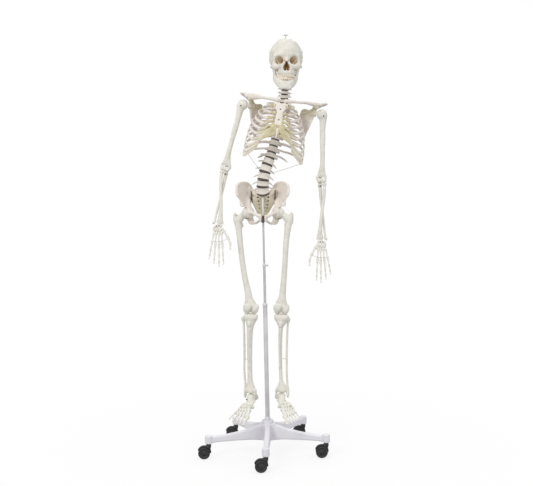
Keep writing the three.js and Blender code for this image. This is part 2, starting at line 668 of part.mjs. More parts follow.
function radius(length, side) {
  const s = (stations) => stations.map(([x, y, z, ...half]) => [x * side, y, z, ...half]);
  return tube(s([
    [16, -4, -14, 10, 10], [15, -4, -22, 9, 9], [13, -5, -30, 6, 6], [6, -10, -length * 0.36, 6, 6],
    [-6, -10, -length * 0.7, 7, 6], [-8, -3, -length + 18, 13, 8], [-8, -2, -length + 5, 14, 9],
  ]), 6);
}

// A hand below its wrist: carpal block, four fingers and a thumb on the side near the body.
function hand(length, side) {
  const s = (stations) => stations.map(([x, y, z, ...half]) => [x * side, y, z, ...half]);
  const carpals = tube(s([[-3, 0, -5, 17, 8], [-2, 0, -18, 24, 8], [-1, 0, -36, 25, 7]]), 6);
  const fingers = [
    { x: -16, reach: 0.93, spread: -12 }, { x: -5, reach: 1, spread: -3 },
    { x: 6, reach: 0.95, spread: 8 }, { x: 17, reach: 0.8, spread: 21 },
  ].map(({ x, reach, spread }) => tube(s([
    [x, 0, -32, 5, 5], [x + spread * 0.45, -2, -length * 0.5 * reach, 5.5, 5],
    [x + spread, -8, -length * reach, 2.5, 2.5],
  ]), 4));
  const thumb = tube(s([
    [-18, -3, -26, 6, 6], [-33, -8, -60, 5, 5], [-42, -16, -108, 3, 3],
  ]), 4);
  return union(carpals, fingers, thumb);
}

function buildArms() {
  SIDE_NAMES.forEach((name, i) => {
    const side = SIDE_SIGNS[i];
    const places = [SHOULDER, ELBOW, WRIST, FINGERTIP];
    const [shoulder, elbow, wrist, tip] = places.map((list) => vec(...list[i]));
    const upper = boneFrame(model, shoulder, elbow);
    const upperArm = humerus(shoulder.distanceTo(elbow), side);
    addPart(upper, `humerus_${name}`, boredHead(upperArm, side, SHOULDER_PIN_RADIUS), bone());
    addPart(upper, `shoulder_pin_${name}`, ballPin(side, SHOULDER_PIN_RADIUS), steel());
    const fore = boneFrame(upper, elbow, wrist);
    const length = elbow.distanceTo(wrist);
    addPart(fore, `ulna_${name}`, ulna(length, side), bone());
    addPart(fore, `radius_${name}`, radius(length, side), bone());
    const palm = boneFrame(fore, wrist, tip);
    addPart(palm, `hand_${name}`, hand(wrist.distanceTo(tip), side), bone());
  });
}

// ---------------------------------------------------------------------- legs

function femur(length, side) {
  const s = (stations) => stations.map(([x, y, z, ...half]) => [x * side, y, z, ...half]);
  const head = ball([0, 0, 0], [23.5, 23.5, 23.5], 8, 6);
  const neck = tube(s([[4, 0, -3, 13, 13], [26, 2, -14, 11, 12], [40, 5, -26, 15, 15]]), 6, FRONT);
  const trochanter = tube(s([[46, 12, 12, 7, 10], [43, 8, -8, 13, 15], [38, 5, -40, 17, 15]]), 6);
  const shaft = tube(s([
    [38, 5, -30, 17, 15], [33, 2, -80, 14, 14], [23, -4, -length * 0.46, 12.5, 13],
    [12, -4, -length * 0.74, 14, 13], [4, 0, -length * 0.9, 24, 16], [0, 2, -length + 8, 34, 18],
  ]), 6);
  const condyles = drum('x', [0, 2, -length], 21, 70, 12)
    .subtract(block([0, 14, -length - 12], [14, 30, 30]));
  return union(head, neck, trochanter, shaft, condyles);
}

function tibia(length, side) {
  const s = (stations) => stations.map(([x, y, z, ...half]) => [x * side, y, z, ...half]);
  return tube(s([
    [0, 0, -24.5, 35, 22], [0, 0, -36, 34, 22], [-2, 0, -64, 20, 20], [-4, 0, -110, 14, 15],
    [-4, 2, -length * 0.6, 12, 13], [-2, 1, -length * 0.85, 13, 13], [-3, 0, -length + 26, 21, 17],
    [-3, 0, -length + 18.5, 22, 17],
  ]), 8);
}

function fibula(length, side) {
  const s = (stations) => stations.map(([x, y, z, ...half]) => [x * side, y, z, ...half]);
  return tube(s([
    [33, 22, -42, 8, 8], [32, 20, -62, 5, 5], [31, 16, -length * 0.5, 5, 5], [29, 8, -length * 0.8, 5, 5],
    [29, 3, -length + 22, 5, 9], [29, 3, -length - 8, 4, 9],
  ]), 6);
}

// A foot about its ankle joint, toes along -Y of its own frame; the big toe is on the inner side.
function foot(length, side) {
  const s = (stations) => stations.map(([x, y, z, ...half]) => [x * side, y, z, ...half]);
  const talus = ball([0, 0, 0], [16, 16, 16], 8, 6);
  const neck = tube(s([[-3, -4, -6, 15, 12], [-6, -34, -14, 15, 12]]), 6);
  const heel = tube(s([[2, 2, -16, 15, 11], [4, 26, -26, 14, 17], [3, 50, -32, 12, 15]]), 6);
  const sole = tube(s([[4, 4, -22, 14, 12], [8, -34, -24, 13, 9]]), 6);
  const middle = tube(s([[0, -28, -20, 25, 12], [0, -66, -24, 30, 10]]), 6);
  const rays = [
    { x: -21, wide: 8, reach: 1 }, { x: -8, wide: 5, reach: 1.0 }, { x: 3, wide: 4.5, reach: 0.95 },
    { x: 14, wide: 4.5, reach: 0.89 }, { x: 25, wide: 4.5, reach: 0.8 },
  ].map(({ x, wide, reach }) => tube(s([
    [x, -60, -24, wide, wide], [x * 1.3, -length * 0.7 * reach, -36, wide, wide],
    [x * 1.45, -length * reach, -44, wide * 0.9, wide * 0.8],
  ]), 4));
  return union(talus, neck, heel, sole, middle, rays);
}

function buildLegs() {
  SIDE_NAMES.forEach((name, i) => {
    const side = SIDE_SIGNS[i];
    const [hip, knee, ankle] = [HIP, KNEE, ANKLE].map((list) => vec(...list[i]));
    const thigh = boneFrame(model, hip, knee, turnedFront(LEG_TURN[i]));
    const thighBone = femur(hip.distanceTo(knee), side);
    addPart(thigh, `femur_${name}`, boredHead(thighBone, side, HIP_PIN_RADIUS), bone());
    addPart(thigh, `hip_pin_${name}`, ballPin(side, HIP_PIN_RADIUS), steel());
    const cap = new THREE.Group();
    cap.position.set(0, -30, 18 - hip.distanceTo(knee));
    thigh.add(cap);
    addPart(cap, `patella_${name}`, ball([0, 0, 0], [20, 8, 21], 8, 6), bone());
    const shin = boneFrame(thigh, knee, ankle, turnedFront(LEG_TURN[i]));
    const length = knee.distanceTo(ankle);
    addPart(shin, `tibia_${name}`, tibia(length, side), bone());
    addPart(shin, `fibula_${name}`, fibula(length, side), bone());
    const footFrame = new THREE.Group();
    const [drop, turn] = [FOOT_DROP, FOOT_TURN[i]].map(THREE.MathUtils.degToRad);
    footFrame.rotation.set(drop, 0, turn, 'ZXY');
    footFrame.position.copy(ankle);
    model.add(footFrame);
    shin.attach(footFrame);
    addPart(footFrame, `foot_${name}`, foot(FOOT_LENGTH, side), bone());
  });
}

// ------------------------------------------------------------------ assembly

buildStand();
buildPelvis();
buildLumbar();
buildThorax();
buildNeck();
buildSkull();
buildArms();
buildLegs();

const footprint = new THREE.Box3().setFromObject(model);
const centre = footprint.getCenter(vec(0, 0, 0));
model.position.set(-centre.x, -centre.y, -footprint.min.z);
model.updateMatrixWorld(true);

export default model;
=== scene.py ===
"""Human skeleton model on a roller stand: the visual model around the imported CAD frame.
Bones are shaped in millimetres in frames of their own, as in the CAD, then set in place in metres.
The skeleton faces -Y, so its left side is towards +X. Paired bones are drawn for the left side."""

import math

import bmesh
import bpy
import numpy as np
from mathutils import Matrix, Vector


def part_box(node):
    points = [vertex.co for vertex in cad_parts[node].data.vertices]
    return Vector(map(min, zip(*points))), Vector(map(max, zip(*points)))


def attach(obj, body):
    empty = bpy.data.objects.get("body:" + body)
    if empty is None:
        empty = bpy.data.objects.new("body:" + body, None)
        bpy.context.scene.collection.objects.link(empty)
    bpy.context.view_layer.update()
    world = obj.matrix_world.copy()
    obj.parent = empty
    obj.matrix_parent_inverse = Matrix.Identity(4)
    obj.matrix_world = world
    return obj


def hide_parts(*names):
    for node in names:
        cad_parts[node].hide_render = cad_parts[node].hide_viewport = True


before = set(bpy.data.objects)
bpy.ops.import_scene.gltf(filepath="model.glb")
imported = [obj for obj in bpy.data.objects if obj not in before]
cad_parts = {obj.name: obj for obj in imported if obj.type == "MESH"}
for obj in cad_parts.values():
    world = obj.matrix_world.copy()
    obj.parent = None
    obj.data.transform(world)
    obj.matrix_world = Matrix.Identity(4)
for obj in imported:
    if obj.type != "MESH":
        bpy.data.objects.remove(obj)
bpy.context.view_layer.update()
scene = bpy.context.scene
COARSE = 1.0
MM = 0.001

# ---- dimensions, in mm and degrees, from the pole axis
SPINE = [
    (3, 8, 1111), (1, 0, 1138.5), (4, -4, 1167), (11, -2, 1199), (22, 4, 1230), (34, 12, 1258),
    (58.6, 32, 1335), (77.5, 36, 1400), (90, 28, 1450),
    (98.6, 12, 1489), (101, 0, 1522.5), (104.5, -3, 1555), (107, 2, 1588), (108, 6, 1606),
]
LUMBAR_COUNT = 5
THORACIC_COUNT = 12
NECK_COUNT = 6
LOWEST_NECK = 7
FIRST_THORACIC, LAST_THORACIC = 5, 9
THORAX_ORIGIN = (46, 10, 1256)
THORAX_TILT = 10
SHOULDER = {"right": (-74, 0, 1488), "left": (257, 0, 1439)}
ELBOW = {"right": (-156, 0, 1217), "left": (250, 0, 1159)}
WRIST = {"right": (-191.5, -30, 982), "left": (246, -10, 904)}
FINGERTIP = {"right": (-188, -60, 806), "left": (237, -30, 728)}
HIP = {"right": (-67.6, 0, 1029), "left": (67.6, 0, 1026)}
KNEE = {"right": (-61.5, -5, 618.5), "left": (69, -5, 614)}
ANKLE = {"right": (-71, 0, 245), "left": (63, 0, 245)}
LEG_TURN = {"right": -20, "left": -14}
FOOT_TURN = {"right": -24, "left": 19.5}
FOOT_DROP = 16
SIGN = {"right": -1, "left": 1}
SIDES = ("right", "left")
LEG_COUNT = 5
FIRST_LEG_ANGLE = math.radians(-20.3)
STEM_CIRCLE = 260
WHEEL_RADIUS = 25
CASTER_TRAIL = 20
TUBE_TOP = 638
CLAMP_HEIGHT = 805
ROD_TOP = 1092
HAND_LENGTH = 177.5
PALM_SHARE = 0.185
FIBULA_MIDDLE_X = 23
SAW_GAP = 0.16
CAMERA_SPOT = (0, -3600, 1128.86)
CAMERA_TURN = (0.19, 3.64, -1.27)
CAMERA_LENS = 57.51
FLOOR_REACH = 30000

X, Y, Z = np.eye(3)
FRONT = -Y
TO_FRONT = np.array([X, Z, -Y])     # a lathe's axis laid along -Y
TO_BACK = np.array([X, -Z, Y])
TO_SIDE = np.array([Y, Z, X])
pole_low, pole_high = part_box("stand_pole")
POLE = np.array([(pole_low.x + pole_high.x) / 2, (pole_low.y + pole_high.y) / 2, 0]) / MM


# ---- places and curves
def unit(vector):
    vector = np.asarray(vector, float)
    return vector / np.linalg.norm(vector)


def square_to(wanted, axis):
    """The unit direction nearest to wanted that is square to axis."""
    for candidate in (wanted, Z, Y):
        rest = np.asarray(candidate, float) - axis * (np.asarray(candidate, float) @ axis)
        if np.linalg.norm(rest) > 0.02:
            return unit(rest)
    return unit(np.cross(axis, X))


class Place:
    """A frame of its own: an origin in mm from the pole axis, and three axes as rows."""

    def __init__(self, origin=(0, 0, 0), axes=None):
        self.origin = np.asarray(origin, float)
        self.axes = np.eye(3) if axes is None else np.asarray(axes, float)

    def out(self, points):
        return self.origin + np.asarray(points, float) @ self.axes

    def into(self, points):
        return (np.asarray(points, float) - self.origin) @ self.axes.T

    def at(self, origin):
        return Place(self.out(origin), self.axes)


def bone_place(start, end, front=FRONT):
    """+Z points back from end to start and -Y looks to front."""
    up = unit(np.subtract(start, end))
    back = -np.asarray(front, float)
    back = unit(back - up * (back @ up))
    return Place(start, [np.cross(back, up), back, up])


def turned_front(degrees):
    angle = math.radians(degrees)
    return np.array([math.sin(angle), -math.cos(angle), 0])


def turn(axis, degrees):
    """Rows of a frame turned about X, Y or Z."""
    c, s = math.cos(math.radians(degrees)), math.sin(math.radians(degrees))
    rows = {
        "x": [(1, 0, 0), (0, c, s), (0, -s, c)],
        "y": [(c, 0, -s), (0, 1, 0), (s, 0, c)],
        "z": [(c, s, 0), (-s, c, 0), (0, 0, 1)],
    }
    return np.array(rows[axis], float)


def spline(rows, per_span, closed=False):
    """Catmull-Rom through rows of numbers whose first three (or two) are a position."""
    rows = np.asarray(rows, float)
    count = len(rows)
    ends = rows if closed else np.vstack([2 * rows[0] - rows[1], rows, 2 * rows[-1] - rows[-2]])
    out = []
    for i in range(count if closed else count - 1):
        if closed:
            p = [ends[(i + k - 1) % count] for k in range(4)]
        else:
            p = [ends[i + k] for k in range(4)]
        width = min(3, rows.shape[1])
        d = [max(np.linalg.norm((p[k + 1] - p[k])[:width]), 1e-6) ** 0.5 for k in range(3)]
        t1 = ((p[1] - p[0]) / d[0] - (p[2] - p[0]) / (d[0] + d[1]) + (p[2] - p[1]) / d[1]) * d[1]
        t2 = ((p[2] - p[1]) / d[1] - (p[3] - p[1]) / (d[1] + d[2]) + (p[3] - p[2]) / d[2]) * d[1]
        last = not closed and i == count - 2
        for t in np.linspace(0, 1, per_span + 1)[: per_span + (1 if last else 0)]:
            out.append(p[1] + t1 * t + (-3 * p[1] + 3 * p[2] - 2 * t1 - t2) * t ** 2
                + (2 * p[1] - 2 * p[2] + t1 + t2) * t ** 3)
    return np.array(out)


SPINE_STEPS = 60
spine_line = spline(SPINE, SPINE_STEPS)


def spine_point(index):
    place = index * SPINE_STEPS
    low = min(int(place), len(spine_line) - 2)
    return spine_line[low] + (spine_line[low + 1] - spine_line[low]) * (place - low)


THORACIC = [
    spine_point(FIRST_THORACIC + (LAST_THORACIC - FIRST_THORACIC) * k / THORACIC_COUNT)
    for k in range(THORACIC_COUNT + 1)
]
THORAX = Place(THORAX_ORIGIN, turn("y", THORAX_TILT))


# ---- modelling clay: signed distances on a grid
FAR = 60.0
SMALL = 1e-6


class Clay:
    """A solid kept as signed distances in mm. Shapes are added and cut with a soft edge."""

    def __init__(self, low, high, pitch):
        self.pitch = pitch * COARSE
        counts = [int(math.ceil((b - a) / self.pitch)) + 1 for a, b in zip(low, high)]
        self.axes = [a + self.pitch * np.arange(n, dtype=np.float32) for a, n in zip(low, counts)]
        self.field = np.full(counts, FAR, np.float32)

    def window(self, low, high, margin):
        cuts = []
        for axis, a, b in zip(self.axes, low, high):
            first, last = np.searchsorted(axis, (a - margin, b + margin))
            cuts.append(slice(max(first - 1, 0), last + 1))
        x, y, z = (axis[cut] for axis, cut in zip(self.axes, cuts))
        return tuple(cuts), x[:, None, None], y[None, :, None], z[None, None, :]

    def add(self, shape, blend=4.0):
        cuts, x, y, z = self.window(shape.low, shape.high, blend + 2 * self.pitch)
        if 0 in self.field[cuts].shape:
            return self
        self.field[cuts] = soft_min(self.field[cuts], shape.distance(x, y, z), blend)
        return self

    def cut(self, shape, blend):
        cuts, x, y, z = self.window(shape.low, shape.high, blend + 2 * self.pitch)
        if 0 in self.field[cuts].shape:
            return self
        self.field[cuts] = -soft_min(-self.field[cuts], shape.distance(x, y, z), blend)
        return self

    def hollow(self, shape, wall):
        """Empties a shape's inside, but leaves a wall of this thickness all round."""
        cuts, x, y, z = self.window(shape.low, shape.high, 2 * self.pitch)
        inner = np.maximum(shape.distance(x, y, z), self.field[cuts] + wall)
        self.field[cuts] = np.maximum(self.field[cuts], -inner)
        return self

    def skin(self):
        """Vertices and four-sided faces of the surface."""
        field = np.pad(self.field, 1, constant_values=FAR)
        inside = field < 0
        corners = [
            inside[i:inside.shape[0] - 1 + i, j:inside.shape[1] - 1 + j, k:inside.shape[2] - 1 + k]
            for i in (0, 1) for j in (0, 1) for k in (0, 1)
        ]
        mixed = np.logical_or.reduce(corners) & ~np.logical_and.reduce(corners)
        cells = np.argwhere(mixed)
        number = np.full(mixed.shape, -1, np.int64)
        number[tuple(cells.T)] = np.arange(len(cells))
        total = np.zeros((len(cells), 3))
        hits = np.zeros(len(cells))
        for axis in range(3):
            for other in ((0, 0), (0, 1), (1, 0), (1, 1)):
                start = np.insert(np.array(other), axis, 0)
                stop = start.copy()
                stop[axis] = 1
                a = field[tuple((cells + start).T)]
                b = field[tuple((cells + stop).T)]
                crossing = (a < 0) != (b < 0)
                share = np.where(crossing, a / np.where(crossing, a - b, 1), 0)
                point = start + share[:, None] * (stop - start)
                total += np.where(crossing[:, None], point, 0)
                hits += crossing
        grid_low = np.array([axis[0] for axis in self.axes]) - self.pitch
        points = grid_low + (cells + total / hits[:, None]) * self.pitch
        faces = []
        for axis in range(3):
            u, v = (axis + 1) % 3, (axis + 2) % 3
            core = [slice(1, -1)] * 3
            core[axis] = slice(0, -1)
            ahead = list(core)
            ahead[axis] = slice(1, None)
            here, there = inside[tuple(core)], inside[tuple(ahead)]
            edges = np.argwhere(here != there) + np.where(np.arange(3) == axis, 0, 1)
            flip = ~inside[tuple(edges.T)]
            shift_u, shift_v = (np.where(np.arange(3) == w, 1, 0) for w in (u, v))
            quad = np.stack([
                number[tuple((edges - a * shift_u - b * shift_v).T)]
                for a, b in ((1, 1), (0, 1), (0, 0), (1, 0))
            ], 1)
            quad[flip] = quad[flip][:, ::-1]
            faces.append(quad)
        return points, np.vstack(faces)


def soft_min(a, b, blend):
    if blend <= SMALL:
        return np.minimum(a, b)
    share = np.clip(0.5 + 0.5 * (b - a) / blend, 0, 1)
    return b + (a - b) * share - blend * share * (1 - share)


class Shape:
    def __init__(self, low, high, distance):
        self.low, self.high, self.distance = low, high, distance


def stretched(q, r):
    """Distance to an ellipsoid, from offsets and half widths in three directions."""
    k0 = np.sqrt(sum((a / b) ** 2 for a, b in zip(q, r)))
    k1 = np.sqrt(sum((a / (b * b)) ** 2 for a, b in zip(q, r)))
    return (k0 * (k0 - 1) / np.maximum(k1, SMALL)).astype(np.float32)


def ball(centre, half, mirror=False):
    """An ellipsoid; mirror gives its twin at -X too."""
    half = np.ones(3) * half
    low, high = np.array(centre) - half, np.array(centre) + half

    def distance(x, y, z):
        return stretched([(np.abs(x) if mirror else x) - centre[0], y - centre[1], z - centre[2]], half)

    if mirror:
        low[0] = -high[0]
    return Shape(low, high, distance)


def smoothed(stations, steps):
    """Rows of five numbers, with curved steps between them; a half depth left out is the half width."""
    rows = [tuple(row) + (row[3],) if len(row) == 4 else tuple(row) for row in stations]
    return spline(rows, steps) if len(rows) > 2 else np.array(rows, float)


def limb(stations, across=X, steps=5, mirror=False):
    """A rounded bar through stations (x, y, z, half width, half depth); the width lies along across."""
    rows = smoothed(stations, steps)
    rows[:, 3:] = np.maximum(rows[:, 3:], 0.4)
    reach = rows[:, 3:].max(1)[:, None]
    low, high = (rows[:, :3] - reach).min(0), (rows[:, :3] + reach).max(0)
    if mirror:
        low[0] = -high[0]

    def distance(x, y, z):
        x = np.abs(x) if mirror else x
        best = None
        for a, b in zip(rows[:-1], rows[1:]):
            along = b[:3] - a[:3]
            size = np.linalg.norm(along)
            if size < SMALL:
                continue
            axis = along / size
            wide = square_to(across, axis)
            deep = np.cross(axis, wide)
            q = [x - a[0], y - a[1], z - a[2]]
            t = np.clip((q[0] * axis[0] + q[1] * axis[1] + q[2] * axis[2]) / size, 0, 1)
            q = [value - t * step for value, step in zip(q, along)]
            half_wide = a[3] + (b[3] - a[3]) * t
            half_deep = a[4] + (b[4] - a[4]) * t
            offsets = [sum(q[i] * row[i] for i in range(3)) for row in (wide, deep, axis)]
            near = stretched(offsets, [half_wide, half_deep, np.minimum(half_wide, half_deep)])
            best = near if best is None else np.minimum(best, near)
        return best

    return Shape(low, high, distance)


def puck(centre, half_width, half_depth, bottom, top, waist=0.0, *, edge):
    """An upright oval column with flat ends, narrower by a share of its width half way up."""
    low = (centre[0] - half_width, centre[1] - half_depth, bottom)
    high = (centre[0] + half_width, centre[1] + half_depth, top)
    middle, half = (bottom + top) / 2, (top - bottom) / 2

    def distance(x, y, z):
        narrow = 1 - waist * np.clip(1 - ((z - middle) / half) ** 2, 0, 1)
        u, v = (x - centre[0]) / (half_width * narrow), (y - centre[1]) / (half_depth * narrow)
        side = (np.sqrt(u * u + v * v) - 1) * min(half_width, half_depth)
        return -soft_min(-side, half - np.abs(z - middle) + 0 * side, edge)

    return Shape(low, high, distance)


def brick(centre, half, round_off=2.0, axes=None):
    """A box with rounded edges, turned by the rows of axes."""
    reach = np.array(half) if axes is None else np.ones(3) * np.linalg.norm(half)
    low, high = np.array(centre) - reach, np.array(centre) + reach

    def distance(x, y, z):
        q = [x - centre[0], y - centre[1], z - centre[2]]
        if axes is not None:
            q = [q[0] * row[0] + q[1] * row[1] + q[2] * row[2] for row in axes]
        q = [np.abs(value) - size + round_off for value, size in zip(q, half)]
        outer = np.sqrt(sum(np.maximum(value, 0) ** 2 for value in q))
        return outer + np.minimum(np.maximum(np.maximum(q[0], q[1]), q[2]), 0) - round_off

    return Shape(low, high, distance)


def sheet(place, outline, thickness, bend=None, *, edge):
    """A plate with a smooth outline (u, v) in a place's XY plane, bent along its Z by bend(u, v)."""
    border = spline(outline, 5, closed=True)
    low_uv, high_uv = border.min(0) - 14, border.max(0) + 14
    pitch = 1.5
    u = np.arange(low_uv[0], high_uv[0], pitch)
    v = np.arange(low_uv[1], high_uv[1], pitch)
    grid_u, grid_v = np.meshgrid(u, v, indexing="ij")
    best = np.full(grid_u.shape, 1e9)
    inside = np.zeros(grid_u.shape, bool)
    for (au, av), (bu, bv) in zip(border, np.roll(border, -1, 0)):
        eu, ev = bu - au, bv - av
        t = np.clip(((grid_u - au) * eu + (grid_v - av) * ev) / max(eu * eu + ev * ev, SMALL), 0, 1)
        best = np.minimum(best, (grid_u - au - t * eu) ** 2 + (grid_v - av - t * ev) ** 2)
        spans = (av > grid_v) != (bv > grid_v)
        slope = eu * (grid_v - av) / (ev if abs(ev) > SMALL else SMALL) + au
        inside ^= spans & (grid_u < slope)
    flat = np.sqrt(best) * np.where(inside, -1, 1)
    corners = np.array([place.out((a, b, c)) for a in (low_uv[0], high_uv[0]) for b in (low_uv[1],
        high_uv[1]) for c in (-26, 26)])

    def distance(x, y, z):
        q = [x - place.origin[0], y - place.origin[1], z - place.origin[2]]
        pu, pv, pw = (q[0] * row[0] + q[1] * row[1] + q[2] * row[2] for row in place.axes)
        fu = np.clip((pu - u[0]) / pitch, 0, len(u) - 1.001)
        fv = np.clip((pv - v[0]) / pitch, 0, len(v) - 1.001)
        iu, iv = fu.astype(int), fv.astype(int)
        fu, fv = fu - iu, fv - iv
        rim = ((flat[iu, iv] * (1 - fu) + flat[iu + 1, iv] * fu) * (1 - fv)
            + (flat[iu, iv + 1] * (1 - fu) + flat[iu + 1, iv + 1] * fu) * fv)
        mid = bend(pu, pv) if bend else 0
        size = thickness(pu, pv) if callable(thickness) else thickness
        return -soft_min(-rim, size / 2 - np.abs(pw - mid), edge).astype(np.float32)

    return Shape(corners.min(0), corners.max(0), distance)


# ---- meshes
CAP_SHARES = np.sin(np.linspace(0.25, 1.35, 3))
CAP_BULGE = 0.6


def tube_faces(rings, sides):
    """Faces of a tube of rings of points, closed by a flat face at each end."""
    faces = []
    for i in range(rings - 1):
        for k in range(sides):
            j = (k + 1) % sides
            faces.append((i * sides + k, i * sides + j, (i + 1) * sides + j, (i + 1) * sides + k))
    faces.append(tuple(range(sides))[::-1])
    faces.append(tuple((rings - 1) * sides + k for k in range(sides)))
    return faces


def squarish(sides, square, start=0.0):
    """Cosines and sines round a circle whose sides flatten as square falls below 1."""
    angles = 2 * math.pi * (np.arange(sides) + start) / sides
    c, s = np.cos(angles), np.sin(angles)
    return np.sign(c) * np.abs(c) ** square, np.sign(s) * np.abs(s) ** square


def sweep(stations, across, steps, sides, square=1.0, twist=None):
    """Skin of a bar through stations, as in limb, with rounded ends; square below 1 flattens its sides."""
    rows = smoothed(stations, steps)
    caps = []
    for end, beside in ((rows[0], rows[1]), (rows[-1], rows[-2])):
        ahead = unit(end[:3] - beside[:3]) * min(end[3:]) * CAP_BULGE
        caps.append([np.append(end[:3] + ahead * math.sqrt(1 - share ** 2),
            end[3:] * share) for share in CAP_SHARES])
    rows = np.array(caps[0] + list(rows) + caps[1][::-1])
    rows[:, 3:] = np.maximum(rows[:, 3:], 0.15)
    points = []
    c, s = squarish(sides, square)
    wide = np.asarray(across, float)
    for i, row in enumerate(rows):
        along = unit(rows[min(i + 1, len(rows) - 1), :3] - rows[max(i - 1, 0), :3])
        want = wide if twist is None else twist(i / (len(rows) - 1))
        side = square_to(want, along)
        deep = np.cross(along, side)
        points.append(row[:3] + row[3] * c[:, None] * side + row[4] * s[:, None] * deep)
    return np.vstack(points), tube_faces(len(rows), sides)


def lathe(profile, sides, axes=None, centre=(0, 0, 0)):
    """Skin of a profile (radius, height) turned about Z, or about the last row of axes."""
    c, s = squarish(sides, 1.0)
    points = np.vstack([np.stack([radius * c, radius * s, np.full(sides, height)], 1) for radius,
        height in profile])
    if axes is not None:
        points = points @ np.asarray(axes, float)
    return points + np.asarray(centre, float), tube_faces(len(profile), sides)


def joined(skins):
    """Several closed skins as one."""
    points, faces, count = [], [], 0
    for skin_points, skin_faces in skins:
        points.append(np.asarray(skin_points))
        faces += [tuple(int(i) + count for i in face) for face in skin_faces]
        count += len(skin_points)
    return np.vstack(points), faces


def rounded(profile, amount):
    """A lathe profile with its corners cut back by amount."""
    out = [profile[0]]
    for before, here, after in zip(profile, profile[1:], profile[2:]):
        before, here, after = (np.array(point, float) for point in (before, here, after))
        for other in (before, after):
            size = np.linalg.norm(other - here)
            out.append(tuple(here + (other - here) * min(amount / max(size, SMALL), 0.45)))
    out.append(profile[-1])
    return out


PIT_DEPTH = 0.9
HOLLOW_STEPS = 6


def hollows(mesh):
    """How far each vertex sits in a hollow, 0 on ridges to 1 in pits, from the mesh's own shape."""
    count = len(mesh.vertices)
    points = np.zeros(count * 3, np.float32)
    mesh.vertices.foreach_get("co", points)
    points = points.reshape(-1, 3)
    normals = np.zeros(count * 3, np.float32)
    mesh.vertex_normals.foreach_get("vector", normals)
    normals = normals.reshape(-1, 3)
    edges = np.zeros(len(mesh.edges) * 2, np.int32)
    mesh.edges.foreach_get("vertices", edges)
    a, b = edges.reshape(-1, 2).T
    degree = np.bincount(a, minlength=count) + np.bincount(b, minlength=count)

    def spread(values):
        total = np.zeros_like(values)
        for axis in range(values.shape[1]):
            total[:, axis] = (np.bincount(a, values[b, axis], count) + np.bincount(b, values[a, axis],
                count))
        return total / np.maximum(degree, 1)[:, None]

    smooth = points
    for _ in range(HOLLOW_STEPS):
        smooth = spread(smooth)
    depth = ((smooth - points) * normals).sum(1)
    for _ in range(2):
        depth = spread(depth[:, None])[:, 0]
    return np.clip(depth / (PIT_DEPTH * MM), -1, 1)


def sawn(skin, height, gap):
    """The parts of a skin below and above a level saw cut, each closed by a flat rim."""
    halves = []
    for up in (-1, 1):
        form = bmesh.new()
        points, faces = skin
        corners = [form.verts.new(point) for point in points]
        for face in faces:
            form.faces.new([corners[index] for index in face])
        parts = form.verts[:] + form.edges[:] + form.faces[:]
        cut = bmesh.ops.bisect_plane(form, geom=parts, plane_co=(0, 0, height + up * gap / 2),
            plane_no=(0, 0, -up), clear_outer=True)
        rim = [part for part in cut["geom_cut"] if isinstance(part, bmesh.types.BMEdge)]
        bmesh.ops.triangle_fill(form, edges=rim, use_beauty=True, normal=(0, 0, -up))
        form.verts.index_update()
        halves.append((np.array([corner.co[:] for corner in form.verts]),
            [tuple(corner.index for corner in face.verts) for face in form.faces]))
        form.free()
    return halves


def piece(name, skin, material, body, nodes=(), place=None, side=1, stretch=1.0, cavity=True,
        tint_and_shade=None, crease=0):
    """A Blender object from a skin in mm, mirrored for side -1, set in its place and riding its body.
    The second-colour argument gives each point's share of a second colour, which on the jaw and about the
    shoulder blades' hooks is painted shade; crease is the angle edges turn sharp at;
    cavity stores how far each vertex sits in a hollow, which the bone materials read for painted shade in
    hollows and a painted highlight on ridges, and the cartilage and stand paints read for painted shade."""
    points, faces = skin
    points = np.asarray(points, float)
    shares = None if tint_and_shade is None else tint_and_shade(points)
    points = points * (side, 1, stretch)
    points = (place or Place()).out(points) + POLE
    mesh = bpy.data.meshes.new(name)
    if side < 0:
        faces = [tuple(face)[::-1] for face in faces] if isinstance(faces, list) else faces[:, ::-1]
    if isinstance(faces, list):
        mesh.from_pydata((points * MM).tolist(), [], [list(map(int, face)) for face in faces])
    else:
        mesh.vertices.add(len(points))
        mesh.vertices.foreach_set("co", (points * MM).astype(np.float32).ravel())
        mesh.loops.add(faces.size)
        mesh.loops.foreach_set("vertex_index", faces.astype(np.int32).ravel())
        mesh.polygons.add(len(faces))
        mesh.polygons.foreach_set("loop_start", np.arange(0, faces.size, 4, dtype=np.int32))
        mesh.update(calc_edges=True)
    mesh.validate()
    mesh.polygons.foreach_set("use_smooth", np.ones(len(mesh.polygons), bool))
    mesh.update()
    if cavity:
        tone = mesh.attributes.new("hollow", "FLOAT", "POINT")
        tone.data.foreach_set("value", hollows(mesh).astype(np.float32))
    if shares is not None:
        tone = mesh.attributes.new("tint_and_shade", "FLOAT", "POINT")
        tone.data.foreach_set("value", np.clip(shares, 0, 1).astype(np.float32))
    if crease:
        mesh.set_sharp_from_angle(angle=math.radians(crease))
    mesh.materials.append(material)
    thing = bpy.data.objects.new(name, mesh)
    scene.collection.objects.link(thing)
    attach(thing, body)
    if nodes:
        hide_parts(*nodes)
    return thing


